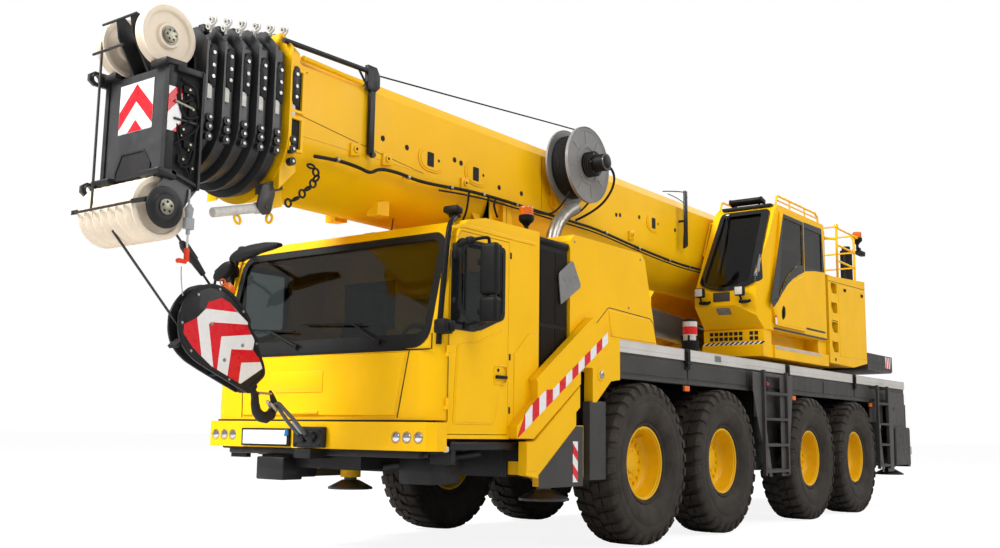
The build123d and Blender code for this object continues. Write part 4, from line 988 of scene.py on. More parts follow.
def makeCover():
    seams, skin, marks = Shape(), Shape(), Shape()
    for side, sign in sides:
        # joint of the upper hood, along the diagonal and above the deck
        line = [(-1.19, 1.62), (-0.575, 2.105), (-0.545, 2.115), (0.2, 2.085), (0.262, 2.05), (0.335, 1.845)]
        for (s0, z0), (s1, z1) in zip(line, line[1:]):
            run = Vector((s1 - s0, z1 - z0)).normalized() * 0.0035
            seams.plate(sign, [(s0 - run.y, z0 + run.x), (s1 - run.y, z1 + run.x), (s1 + run.y, z1 - run.x),
                               (s0 + run.y, z0 - run.x)], 1.2485, 1.2515)
        # raised field below the joint that carries a bare label place
        skin.plate(sign, [(-0.515, 1.86), (-0.56, 2.08), (-0.535, 2.095), (0.19, 2.065), (0.24, 2.035),
                          (0.3, 1.86)], 1.246, 1.256)
        for s, z in ((-1.12, 2.63), (0.02, 2.63), (-0.2, 2.15), (-0.9, 1.92)):
            marks.bolt((sign * 1.25, s, z), (sign, 0, 0), 0.009, 0.007)
        # lamp in the wing, its ring, and plate screws
        centre = (sign * 1.335, -0.83, 1.5)
        skin.turned([(-0.004, 0.0), (-0.004, 0.058), (0.004, 0.058), (0.008, 0.05), (0.008, 0.0)], centre,
                    (sign, 0, 0), 32)
        marks.turned([(0.006, 0.0), (0.006, 0.036), (0.016, 0.032), (0.022, 0.022), (0.024, 0.0)], centre,
                     (sign, 0, 0), 28)
        marks.turned([(0.02, 0.0), (0.02, 0.012), (0.032, 0.01), (0.033, 0)], centre, (sign, 0, 0), 16)
        # folded edges of the diagonal beam
        skin.plate(sign, [(-1.785, 1.392), (-0.935, 1.957), (-0.955, 1.985), (-1.805, 1.418)], 1.26, 1.338)
    seams.done("cover_joints", rubber, "carrier", smooth=0)
    skin.done("cover_fields", yellowPaint, "carrier", bevel=0.003)
    marks.done("cover_screws", zinc, "carrier")
    for side, sign in sides:
        low, high = span(sign, 1.333, 1.3375)
        tapePair(f"wing_tape_{side}", "carrier", lambda red, white: wingTape(red, white, low, high))


airBoxPlastic = finish("airBoxPlastic", (0.009, 0.006, 0.004), 0.42, grain=1400, bump=0.1, tint=0.72, patch=3,
                       gleam=0.1)
makeAirBoxes()
makeBeacon("front_beacon", (1.0, -1.49, 2.735), "carrier", stalk=0.1)
makeExhaust()
makeCover()
print("engine cover made")


# upper cab, its door and the rails
upper = {"marks": 24, "teeth": 74,
         "frame": [(0.53, 2.79), (0.59, 3.7), (1.188, 3.7), (1.205, 2.8), (1.13, 2.745), (1.0, 2.7),
                   (0.85, 2.685), (0.7, 2.7), (0.59, 2.75)],
         "screen": [(0.54, 2.79), (0.6, 3.69), (1.13, 3.69), (1.165, 2.79), (1.1, 2.745), (0.99, 2.705),
                    (0.85, 2.69), (0.71, 2.705), (0.6, 2.75)]}


def upperSkin(x, z):
    # station of the upper cab's front skin
    if z >= 2.62:
        lean = 2.7 + (z - 2.62) * 0.5556
    else:
        lean = 2.7 + (2.62 - z) * 0.125 if z >= 2.5 else 2.715 + (2.5 - z) * 1.0185
    plan = 2.72 if x <= 0.98 else 2.72 + (x - 0.98) * 0.571
    if x > 1.19:
        plan = 2.84 + (x - 1.19) * 4.3
    return max(lean, plan)


def onUpper(x, z, lift=0.0):
    return Vector((x, upperSkin(x, z) - lift, z))


def makeUpperFront():
    frit = Shape()
    outline = roundCorners(upper["screen"], 0.05, 5)
    wide = roundCorners(upper["frame"], 0.05, 5)
    bandOnSkin(frit, offsetOutline(outline, -0.026), offsetOutline(wide, 0.018), upperSkin, 0.022, 0.034,
               rows=9, cuts=6)
    for x, z in ((0.555, 2.86), (0.605, 3.62), (1.125, 3.62), (1.15, 2.86)):
        frit.bar(onUpper(x, z, 0.004), onUpper(x, z, 0.014), 0.012, 12)
    # wiper with its parallel arm
    frit.bar(onUpper(0.66, 3.66, 0.0), onUpper(0.66, 3.66, 0.035), 0.022, 14)
    frit.bar(onUpper(0.66, 3.66, 0.03), onUpper(0.7, 3.22, 0.034), 0.008, 8, 0.006)
    frit.bar(onUpper(0.68, 3.66, 0.026), onUpper(0.72, 3.22, 0.03), 0.004, 6)
    frit.bar(onUpper(0.7, 3.44, 0.02), onUpper(0.72, 2.9, 0.02), 0.007, 6)
    frit.block((0.6, 3.255, 3.655), (0.7, 3.3, 3.7), bevel=0.008)
    frit.done("upper_screen_frame", blackGloss, "superstructure")
    lamps, lens = Shape(), Shape()
    for x in (0.585, 1.065):
        s = upperSkin(x, 2.64)
        lamps.block((x - 0.055, s - 0.135, 2.595), (x + 0.055, s - 0.06, 2.705), bevel=0.014)
        lamps.block((x - 0.035, s - 0.07, 2.6), (x + 0.035, s - 0.03, 2.69), bevel=0.006)
        lamps.bar((x, s - 0.09, 2.6), (x, s - 0.06, 2.545), 0.012, 10)
        lamps.block((x - 0.03, s - 0.075, 2.515), (x + 0.07, s + 0.01, 2.55), bevel=0.01)
        lamps.bar((x + 0.06, s - 0.05, 2.525), (x + 0.11, s - 0.05, 2.54), 0.018, 12)
        lens.block((x - 0.046, s - 0.139, 2.606), (x + 0.046, s - 0.133, 2.694), bevel=0.003)
    lamps.done("upper_lamp_housings", blackPlastic, "superstructure")
    lens.done("upper_lamp_faces", palePlastic, "superstructure")
    plates, pale = Shape(), Shape()
    for form, x, z, wide, tall in ((plates, 0.815, 2.6, 0.105, 0.055), (pale, 0.815, 2.435, 0.085, 0.035)):
        points = oblong(x - wide, x + wide, z - tall, z + tall)
        form.loft([[onUpper(px, pz, lift) for px, pz in points] for lift in (0.005, -0.001)])
        for dx in (-0.9, 0.9):
            for dz in (-0.75, 0.75):
                spot = onUpper(x + dx * wide, z + dz * tall, 0.004)
                form.bar(spot, spot + Vector((0, -0.004, 0)), 0.005, 8)
    plates.done("dark_blank_plate", greyPaint, "superstructure")
    pale.done("pale_blank_plate", blankPlate, "superstructure")
    # air slots and the marked ledge under the cab's nose
    slots = Shape()
    for x in [0.545 + 0.062 * index for index in range(7)] + [1.05, 1.112]:
        for z in (2.105, 2.165):
            slots.block((x, 2.953, z), (x + 0.045, 2.959, z + 0.042), bevel=0.003)
    slots.done("upper_air_slots", rubber, "superstructure")
    ledge = Shape()
    ledge.prism([(2.958, 2.085), (2.905, 2.045), (2.905, 1.912), (2.958, 1.912)], 0.468, 1.225)
    ledge.prism(oblong(3.19, 4.98, 2.056, 1.905), 1.2255, 1.262)
    ledge.prism([(2.905, 2.045), (2.905, 1.912), (3.19, 1.905), (3.19, 2.056)], 1.2255, 1.24)
    ledge.done("upper_ledge", yellowPaint, "superstructure", bevel=0.004)
    dark, light = Shape(), Shape()
    for index in range(upper["marks"]):
        form = dark if index % 2 else light
        x = 0.475 + index * 0.031
        low = [(x, 2.9085, 2.0505), (x + 0.031, 2.9085, 2.0505), (x + 0.053, 2.953, 2.0845),
               (x + 0.022, 2.953, 2.0845)]
        form.loft([[(px, py, pz - 0.003) for px, py, pz in low],
                   [(px, py - 0.001, pz + 0.0015) for px, py, pz in low]])
    dark.done("ledge_marks_dark", rubber, "superstructure", smooth=0)
    light.done("ledge_marks_light", stripeWhite, "superstructure", smooth=0)
    tread = Shape()
    tread.block((1.05, 3.2, 2.0105), (1.255, 4.68, 2.018))
    for index in range(upper["teeth"]):
        s = 3.21 + index * 0.02
        tread.block((1.2622, s, 2.012), (1.2652, s + 0.012, 2.05))
    tread.done("ledge_tread", bandPaint, "superstructure", smooth=0)


def makeUpperSide():
    frit, pane, skin = Shape(), Shape(), Shape()
    pairs = [((3.255, 2.6), (3.03, 2.55)), ((3.485, 3.625), (3.485, 3.672)), ((4.075, 3.625), (4.115, 3.672)),
             ((4.075, 3.115), (4.115, 3.04)), ((3.9, 3.092), (3.9, 2.968)), ((3.72, 3.005), (3.72, 2.9)),
             ((3.57, 2.91), (3.55, 2.81)), ((3.42, 2.77), (3.4, 2.705)), ((3.29, 2.645), (3.25, 2.585)),
             ((3.262, 2.61), (3.11, 2.49))]
    frameRing(frit, [a for a, b in pairs], [b for a, b in pairs], 1.2895, 1.2945)
    frit.done("upper_door_frit", blackGloss, "upper_door")
    pane.prism([a for a, b in pairs], 1.276, 1.281)
    pane.done("upper_door_glass", upperGlass, "upper_door", smooth=0)
    rear = Shape()
    pairs = [((4.235, 3.125), (4.165, 3.055)), ((4.235, 3.635), (4.165, 3.7)),
             ((4.845, 3.635), (4.865, 3.715)), ((4.845, 3.145), (4.93, 3.14)), ((4.55, 3.138), (4.56, 3.11))]
    frameRing(rear, [a for a, b in pairs], [b for a, b in pairs], 1.25, 1.2552)
    rear.done("upper_rear_frit", blackGloss, "superstructure")
    handle = Shape()
    oval = [(0.045 * a, 0.088 * b) for a, b in around(20, 1)]
    turn = radians(-14)
    spots = [(3.4 + a * cos(turn) - b * sin(turn), 2.455 + a * sin(turn) + b * cos(turn)) for a, b in oval]
    handle.prism(spots, 1.288, 1.297, bevel=0.003)
    handle.prism([(3.4 + (s - 3.4) * 0.6, 2.455 + (z - 2.455) * 0.78) for s, z in spots], 1.295, 1.312,
                 bevel=0.006)
    handle.done("upper_door_handle", blackPlastic, "upper_door")
    # pressed lower field of the door and the guide rail
    field = roundCorners([(3.26, 2.315), (3.16, 2.52), (3.25, 2.545), (3.5, 2.735), (3.9, 2.925),
                          (4.11, 2.99), (4.11, 2.315)], 0.03)
    skin.prism(field, 1.288, 1.2925)
    skin.done("upper_door_field", yellowPaint, "upper_door", bevel=0.002)
    rail = Shape()
    rail.prism(oblong(4.15, 4.9, 2.355, 2.325), 1.25, 1.2552)
    rail.prism(oblong(3.18, 4.92, 2.262, 2.242), 1.2555, 1.272)
    rail.done("upper_guide_rail", greyPaint, "superstructure", bevel=0.002)
    label, tag = Shape(), Shape()
    label.prism([(3.155, 2.295), (3.145, 2.375), (3.195, 2.375), (3.205, 2.295)], 1.2925, 1.2945)
    tag.prism([(3.145, 2.376), (3.142, 2.4), (3.192, 2.4), (3.195, 2.376)], 1.2925, 1.2945)
    label.done("door_label_blank", stripeWhite, "upper_door")
    tag.done("door_label_top", stripeRed, "upper_door")
    seams = Shape()
    for points in ([(4.148, 2.24), (4.148, 3.02)], [(4.965, 2.25), (4.965, 3.7)]):
        (s0, z0), (s1, z1) = points
        seams.prism(oblong(s0 - 0.003, s1 + 0.003, z0, z1), 1.25, 1.2552)
    seams.done("upper_cab_seams", rubber, "superstructure", smooth=0)


def makeUpperRails():
    yellow = Shape()

    def rail(points, radius=0.014):
        for start, end in zip(points, points[1:]):
            yellow.bar(start, end, radius, 10)
        for spot in points[1:-1]:
            knee = Vector((0, 0, radius * 0.9))
            yellow.bar(Vector(spot) - knee, Vector(spot) + knee, radius, 10)

    for x in (1.225, 0.5):
        rail([(x, 3.4, 3.775), (x, 3.45, 3.885), (x, 3.5, 3.905), (x, 4.72, 3.905), (x, 4.8, 3.865),
              (x, 4.83, 3.775)])
        for s in (3.85, 4.35):
            rail([(x, s, 3.775), (x, s, 3.905)], 0.011)
    rail([(1.225, 3.47, 3.845), (1.225, 4.8, 3.845)], 0.01)
    rail([(0.515, 3.05, 3.15), (0.44, 3.04, 3.17), (0.43, 3.26, 3.6), (0.52, 3.28, 3.62)], 0.012)
    # rails on the tall cabinet
    rail([(1.235, 5.5, 3.12), (1.235, 5.5, 3.86)], 0.017)
    rail([(1.235, 6.2, 3.18), (1.235, 6.2, 3.84)], 0.017)
    rail([(0.76, 6.2, 3.18), (0.76, 6.2, 3.84)], 0.017)
    rail([(0.76, 5.46, 3.12), (0.76, 5.46, 3.86)], 0.015)
    for z in (3.84, 3.6, 3.38):
        rail([(1.235, 5.5, z), (1.235, 6.2, z - 0.01)], 0.014)
        rail([(1.235, 6.2, z - 0.01), (0.76, 6.2, z - 0.01)], 0.012)
    rail([(0.76, 5.46, 3.85), (1.235, 5.5, 3.85)], 0.012)
    rail([(1.1, 4.95, 3.72), (1.1, 5.46, 3.7), (1.235, 5.5, 3.68)], 0.018)
    rail([(0.8, 4.95, 3.62), (0.8, 5.46, 3.62)], 0.014)
    yellow.block((1.215, 5.47, 3.835), (1.255, 5.53, 3.885), bevel=0.004)
    yellow.block((1.2, 6.18, 3.8), (1.27, 6.3, 3.83), bevel=0.004)
    yellow.block((0.73, 5.02, 3.118), (1.255, 6.49, 3.128))
    yellow.done("roof_rails", yellowPaint, "superstructure")
    dark = Shape()
    # flat lamp bar on the cab roof, work lamp arm and engine exhaust at the back
    turn = Matrix.Rotation(radians(-14), 3, "X")
    dark.block((0.69, 3.25, 3.818), (1.09, 3.38, 3.856), turn=turn, bevel=0.008)
    dark.block((0.675, 3.27, 3.81), (0.705, 3.4, 3.866), turn=turn, bevel=0.006)
    dark.block((1.075, 3.27, 3.81), (1.105, 3.4, 3.866), turn=turn, bevel=0.006)
    for x in (0.74, 1.04):
        dark.bar((x, 3.36, 3.76), (x, 3.335, 3.835), 0.012, 10)
    dark.block((0.56, 3.32, 3.755), (1.2, 3.44, 3.79), bevel=0.006)
    dark.bar((0.98, 6.62, 3.1), (0.98, 6.62, 3.7), 0.085, 24)
    dark.bar((0.98, 6.62, 3.7), (0.98, 6.62, 3.76), 0.06, 20)
    dark.bar((1.06, 6.36, 3.66), (1.06, 7.06, 3.72), 0.026, 14)
    dark.block((1.02, 6.92, 3.68), (1.1, 7.14, 3.75), bevel=0.012)
    dark.block((1.2, 6.4, 3.62), (1.25, 6.48, 3.7), bevel=0.01)
    for s in (3.55, 4.65):
        dark.block((0.6, s, 3.779), (1.14, s + 0.05, 3.795), bevel=0.003)
    dark.done("upper_dark_fittings", blackPlastic, "superstructure")
    makeBeacon("rear_beacon", (1.235, 6.36, 3.735), "superstructure", stalk=0.06, size=1.05)
    hoses = [((0.72, 5.15, 3.12), (0.7, 5.2, 3.4), (0.66, 5.3, 3.5), (0.62, 5.5, 3.3)),
             ((0.8, 5.1, 3.12), (0.78, 5.2, 3.34), (0.7, 5.4, 3.42), (0.6, 5.6, 3.22)),
             ((0.88, 5.12, 3.12), (0.9, 5.22, 3.3), (0.84, 5.42, 3.36), (0.72, 5.6, 3.16))]
    for number, line in enumerate(hoses):
        hose(f"cabinet_hose_{number + 1}", line, 0.017, rubber, "superstructure")


def makeCabinets():
    seams, skin, dark = Shape(), Shape(), Shape()
    side = 1.27
    seams.prism([(5.02, 3.042), (5.02, 3.048), (6.49, 3.088), (6.49, 3.082)], side - 0.002, side + 0.0015)
    skin.prism(roundCorners([(5.4, 2.06), (5.4, 3.02), (6.46, 3.05), (6.46, 2.09)], 0.03), side - 0.002,
               side + 0.004)
    for step in range(4):
        z = 2.11 + 0.262 * step
        # folded lips of the pocket steps
        skin.prism([(5.31, z + 0.135), (5.31, z), (5.34, z + 0.02), (5.34, z + 0.145)], side - 0.002,
                   side + 0.012)
        skin.prism([(5.1, z + 0.135), (5.1, z + 0.147), (5.34, z + 0.147), (5.31, z + 0.135)], side - 0.002,
                   side + 0.008)
        dark.block((1.14, 5.13, z + 0.002), (1.262, 5.3, z + 0.01))
        skin.prism([(5.108, z - 0.002), (5.108, z + 0.075), (5.175, z - 0.002)], side - 0.004, side + 0.002)
    for s in (5.6, 6.3):
        dark.block((side + 0.001, s, 2.96), (side + 0.018, s + 0.07, 3.0), bevel=0.006)
    dark.block((side - 0.002, 5.12, 2.52), (side + 0.002, 5.34, 2.53))
    dark.block((side - 0.002, 5.19, 1.99), (side + 0.003, 5.24, 2.03), bevel=0.001)
    seams.done("cabinet_seams", rubber, "superstructure", smooth=0)
    skin.done("cabinet_fields", yellowPaint, "superstructure", bevel=0.003)
    dark.done("cabinet_fittings", blackPlastic, "superstructure")
    right = Shape()
    for s in (3.62, 4.52, 5.42):
        right.prism(roundCorners(oblong(s, s + 0.84, 2.02, 2.72), 0.03), -1.2345, -1.229)
    right.done("right_cabinet_doors", yellowPaint, "superstructure", bevel=0.003)
    knobs = Shape()
    for s in (3.72, 4.62, 5.52):
        for z in (2.1, 2.64):
            knobs.block((-1.246, s, z), (-1.233, s + 0.06, z + 0.03), bevel=0.005)
    knobs.done("right_cabinet_latches", blackPlastic, "superstructure")
    # markings on the counterweight's rear corners, its lifting eyes and plate joints
    for side, sign in sides:
        tapePair(f"tail_tape_{side}", "superstructure",
                 lambda red, white: stripes(red, white, (7.32, 2.01), (7.58, 2.01), 0.165, 5,
                                            *span(sign, 1.2705, 1.274), slant=0.4))
    weight = Shape()
    for side, sign in sides:
        weight.flank(sign, (1.268, 1.2735), (6.56, 7.55), (2.066, 2.074))
        for s in (6.72, 7.3):
            weight.ring((sign * 1.0, s, 2.2), (0, 1, 0), 0.035, 0.011)
    for x in (-0.9, -0.3, 0.3, 0.9):
        weight.bolt((x, 7.05, 2.19), (0, 0, 1), 0.024)
    weight.done("counterweight_fittings", greyPaint, "superstructure")


def makeTurntableDetails():
    skin, seams, dark = Shape(), Shape(), Shape()
    for side, sign in sides:
        x = 0.465
        # bent flange along the plate's top edge
        edge = [(3.65, 2.13), (4.75, 2.33), (5.4, 2.86), (6.06, 3.42)]
        for (s0, z0), (s1, z1) in zip(edge, edge[1:]):
            run = Vector((s1 - s0, z1 - z0)).normalized() * 0.03
            skin.plate(sign, [(s0, z0), (s1, z1), (s1 + run.y, z1 - run.x), (s0 + run.y, z0 - run.x)],
                       x - 0.001, x + 0.014)
        for centre, radius in (((6.3, 3.15), 0.15), ((7.4, 2.76), 0.15)):
            skin.turned(oblong(0, 0.012, 0, radius), (sign * x, centre[0], centre[1]), (sign, 0, 0), 40)
            for a, b in around(8, 0.115):
                dark.bolt((sign * (x + 0.012), centre[0] + a, centre[1] + b), (sign, 0, 0), 0.013)
    skin.done("turntable_flanges", yellowPaint, "superstructure", bevel=0.003)
    dark.done("turntable_bolts", zinc, "superstructure")
    lube, pump, mark = Shape(), Shape(), Shape()
    # small drum that stands ahead of the upper cab
    lube.turned([(0, 0), (0, 0.095), (0.14, 0.095), (0.15, 0.08), (0.15, 0)], (0.9, 1.73, 1.857), (0, 0, 1),
                28)
    lube.block((0.76, 1.6, 1.857), (1.04, 1.88, 1.875), bevel=0.01)
    lube.turned([(0, 0), (0, 0.07), (0.035, 0.07), (0.045, 0.05), (0.05, 0)], (0.9, 1.73, 2.2), (0, 0, 1), 28)
    for a, b in around(5, 0.085):
        lube.bar((0.9 + a, 1.73 + b, 1.98), (0.9 + a, 1.73 + b, 2.06), 0.012, 8)
    lube.block((0.86, 1.8, 1.86), (0.94, 2.95, 1.9), bevel=0.008)
    lube.done("lube_pump_body", blackPlastic, "superstructure")
    pump.turned(oblong(0.15, 0.215, 0, 0.078), (0.9, 1.73, 1.857), (0, 0, 1), 28)
    pump.turned(oblong(0.3, 0.355, 0, 0.078), (0.9, 1.73, 1.857), (0, 0, 1), 28)
    pump.done("lube_pump_pale", palePlastic, "superstructure")
    mark.turned(oblong(0.215, 0.3, 0, 0.0785), (0.9, 1.73, 1.857), (0, 0, 1), 28)
    mark.done("lube_pump_red", stripeRed, "superstructure")


makeUpperFront()
makeUpperSide()
makeUpperRails()
makeCabinets()
makeTurntableDetails()
print("upper works made")


# deck band, side panels, ladders and the rear of the carrier
carrier = {"panel": 1.262}


def makeDeckSides():
    band, clamps, markers, pale = Shape(), Shape(), Shape(), Shape()
    for side, sign in sides:
        # two grooves and a rolled lip along the pale band
        for z, high in ((1.8385, 1.8425), (1.772, 1.778), (1.731, 1.74)):
            band.plate(sign, oblong(-0.39, 8.2, z, high), 1.2685, 1.2735)
        for s in (0.92, 3.52, 5.9):
            clamps.plate(sign, [(s - 0.045, 1.64), (s - 0.055, 1.78), (s - 0.05, 1.848), (s + 0.05, 1.848),
                                (s + 0.055, 1.78), (s + 0.045, 1.64)], 1.271, 1.284, 0.002)
            clamps.plate(sign, [(s - 0.028, 1.66), (s - 0.032, 1.82), (s + 0.032, 1.82), (s + 0.028, 1.66)],
                         1.282, 1.296, 0.003)
            clamps.bar((sign * 1.292, s - 0.04, 1.7), (sign * 1.292, s + 0.04, 1.7), 0.009, 10)
        pale.plate(sign, oblong(1.56, 1.7, 1.76, 1.82), 1.2735, 1.275)
        for s in (0.88, 3.67, 6.54):
            markers.plate(sign, roundCorners(oblong(s - 0.05, s + 0.05, 1.425, 1.475), 0.008), 1.268, 1.292)
            clamps.plate(sign, oblong(s - 0.06, s + 0.06, 1.42, 1.492), 1.256, 1.27)
    band.done("deck_band_lips", bandPaint, "carrier", smooth=0)
    clamps.done("deck_clamps", blackPlastic, "carrier")
    markers.done("side_markers", orangePlastic, "carrier", bevel=0.002)
    pale.done("deck_blank_label", blankPlate, "carrier")
    panels = Shape()
    for side, sign in sides:
        joints = [-0.4, 0.93, 2.36, 3.54, 4.72, 5.9, 6.5]
        for s0, s1 in zip(joints, joints[1:]):
            # pressed field and folded lip of each panel
            panels.plate(sign, oblong(s0 + 0.02, s1 - 0.02, 1.545, 1.7), carrier["panel"] - 0.002,
                         carrier["panel"] + 0.004)
            panels.plate(sign, oblong(s0 + 0.005, s1 - 0.005, 1.49, 1.512), carrier["panel"] - 0.004,
                         carrier["panel"] + 0.01)
    panels.done("panel_fields", greyPaint, "carrier", bevel=0.003)


ladders = {"steps": 4, "foot": 0.6, "pitch": 0.285, "notches": 9,
           "spans": ((2.72, 3.14, 0.055, 0.06), (6.78, 7.07, 0.03, 0.03))}


def makeLadders():
    plates, rungs, dark, knobs = Shape(), Shape(), Shape(), Shape()
    for side, sign in sides:
        low, high = span(sign, 1.3305, 1.3365)
        # tapered plates on both sides of each ladder
        plates.prism([(2.365, 1.7), (2.66, 1.7), (2.66, 1.3), (2.86, 0.545), (2.78, 0.545), (2.5, 1.12),
                      (2.365, 1.5)], low, high)
        plates.prism([(3.13, 1.7), (3.52, 1.7), (3.5, 1.45), (3.33, 0.545), (3.13, 0.545)], low, high)
        plates.prism([(2.66, 1.7), (3.13, 1.7), (3.13, 1.665), (2.66, 1.665)], low, high)
        plates.prism([(6.565, 1.66), (6.75, 1.66), (6.75, 1.2), (6.88, 0.515), (6.8, 0.515), (6.66, 1.05),
                      (6.565, 1.5)], low, high)
        plates.prism([(7.06, 1.66), (7.4, 1.66), (7.34, 0.515), (7.06, 0.515)], low, high)
        plates.plate(sign, [(7.44, 1.66), (8.18, 1.66), (8.18, 0.93), (7.8, 0.93), (7.44, 1.25)], 1.262, 1.27)
        for s0, s1, shift, taper in ladders["spans"]:
            for step in range(ladders["steps"]):
                z = ladders["foot"] + ladders["pitch"] * step
                start = s0 + shift - taper * step
                rungs.flank(sign, (1.3, 1.338), (start, s1), (z, z + 0.028), 0.004)
                for notch in range(ladders["notches"]):
                    s = start + 0.03 + notch * (s1 - s0 - 0.08) / ladders["notches"]
                    rungs.flank(sign, (1.302, 1.336), (s, s + 0.016), (z + 0.026, z + 0.032))
        dark.flank(sign, (1.245, 1.3), (2.67, 2.88), (1.5, 1.66), 0.01)
        knobs.stud(sign, (1.3, 1.335), 2.775, 1.58, 0.022, 14)
        knobs.flank(sign, (1.325, 1.345), (2.745, 2.805), (1.573, 1.587), 0.004)
        # boxes and brackets behind the ladders
        dark.flank(sign, (0.98, 1.25), (2.54, 3.24), (0.62, 1.48), 0.02)
        dark.flank(sign, (1.02, 1.24), (6.66, 7.06), (0.62, 1.45), 0.02)
        dark.flank(sign, (1.12, 1.26), (7.52, 7.95), (1.02, 1.55), 0.015)
        for z in (1.1, 1.42):
            dark.stud(sign, (1.26, 1.272), 7.62, z, 0.03, 18)
    plates.done("ladder_plates", rungPaint, "carrier", bevel=0.003)
    rungs.done("ladder_rungs", rungPaint, "carrier")
    dark.done("carrier_side_boxes", blackPlastic, "carrier")
    knobs.done("battery_switch", stripeRed, "carrier", slotName="cream_nylon")


def makeRear():
    frameWork, lens, red, pale = Shape(), Shape(), Shape(), Shape()
    # rear panel, lamps, plate, coupling and the underrun bar
    frameWork.block((-1.2, 8.205, 1.2), (1.2, 8.235, 1.66), bevel=0.008)
    for side, sign in sides:
        for index, form in enumerate((red, lens, pale)):
            x = 0.74 + 0.12 * index
            form.flank(sign, (x, x + 0.105), (8.487, 8.502), (0.76, 0.86), 0.006)
        frameWork.flank(sign, (0.72, 1.12), (8.43, 8.49), (0.735, 0.885), 0.01)
        frameWork.flank(sign, (1.12, 1.262), (8.2, 8.26), (0.72, 1.5), 0.008)
        frameWork.bar((sign * 0.55, 8.2, 0.86), (sign * 0.55, 8.45, 0.8), 0.035, 14)
    frameWork.turned([(0, 0), (0, 0.1), (0.05, 0.1), (0.06, 0.07), (0.16, 0.05), (0.17, 0)], (0, 8.235, 1.02),
                     (0, 1, 0), 28)
    frameWork.block((-0.14, 8.2, 0.9), (0.14, 8.25, 1.15), bevel=0.012)
    frameWork.done("rear_frame", blackPaint, "carrier")
    pale.block((-0.26, 8.236, 1.3), (0.26, 8.241, 1.41), bevel=0.002)
    red.done("rear_lamps_red", stripeRed, "carrier", slotName="cream_nylon")
    lens.done("rear_lamps_amber", orangePlastic, "carrier")
    pale.done("rear_lamps_pale", palePlastic, "carrier")
    bar = Shape()
    bar.block((-1.24, 8.45, 0.71), (1.24, 8.485, 0.725))
    for side, sign in sides:
        bar.flank(sign, (1.2, 1.268), (8.26, 8.49), (0.745, 0.865), 0.006)
    for step in range(3):
        z = 0.745 + 0.038 * step
        bar.prism(oblong(8.395, 8.47, z, z + 0.012), 1.2405, 1.2485)
    bar.done("rear_bar_ribs", bandPaint, "carrier", smooth=0)
    for side, sign in sides:
        tapePair(f"rear_tape_{side}", "carrier",
                 lambda red, white: stripes(red, white, (sign * 0.35, 1.47), (sign * 1.15, 1.47), 0.14, 6,
                                            8.2355, 8.2395, slant=sign * 0.5, axis=1))


def makeOutriggerCovers():
    for side, sign in sides:
        grey, skin = Shape(), Shape()
        body = f"beam_front_{side}"
        low, high = span(sign, 1.3352, 1.3402)
        grey.prism([(-1.76, 0.565), (-1.76, 0.67), (-1.225, 1.055), (-1.12, 1.055), (-1.12, 0.565)], low,
                   high)
        skin.plate(sign, [(-1.925, 0.7), (-1.925, 0.915), (-1.83, 0.918), (-1.24, 1.325), (-1.24, 1.1),
                          (-1.8, 0.7)], 1.3352, 1.3392)
        grey.done(f"cover_triangle_{side}", greyPaint, body, bevel=0.002)
        skin.done(f"cover_field_{side}", yellowPaint, body, bevel=0.002)
        tapePair(f"cover_tape_{side}", body,
                 lambda red, white: stripes(red, white, (-1.205, 0.6), (-1.205, 0.93), 0.075, 4,
                                            *span(sign, 1.3402, 1.3432), slant=0.9))
        post = Shape()
        post.plate(sign, oblong(-1.003, -0.745, 0.608, 1.268), 1.258, 1.3335)
        post.done(f"wing_post_{side}", greyPaint, "carrier", bevel=0.004)
        rear = Shape()
        rear.plate(sign, roundCorners(oblong(7.47, 8.15, 0.6, 1.15), 0.03), 1.3352, 1.3392)
        rear.done(f"rear_cover_field_{side}", greyPaint, f"beam_rear_{side}", bevel=0.002)


rungPaint = finish("rungPaint", (0.082, 0.078, 0.073), 0.42, metal=0.1, tint=0.85, grain=900, bump=0.05,
                   patch=8)
makeDeckSides()
makeLadders()
makeRear()
makeOutriggerCovers()
print("carrier sides made")


# boom: base section, collars, head, sheaves and rigging
boom = {"half": 0.41, "top": 3.8, "step": 0.026, "front": -3.72, "pitch": 0.128, "collar": 0.055,
        "holes": ((-2.66, 3.32), (-2.37, 3.31), (-1.75, 3.34), (-1.66, 3.33), (-1.1, 3.22), (-0.75, 3.23),
                  (1.0, 3.33), (1.08, 3.34), (1.5, 3.39), (2.35, 3.38)),
        "pockets": ((-2.06, 3.27), (-1.44, 3.27), (1.83, 3.37))}


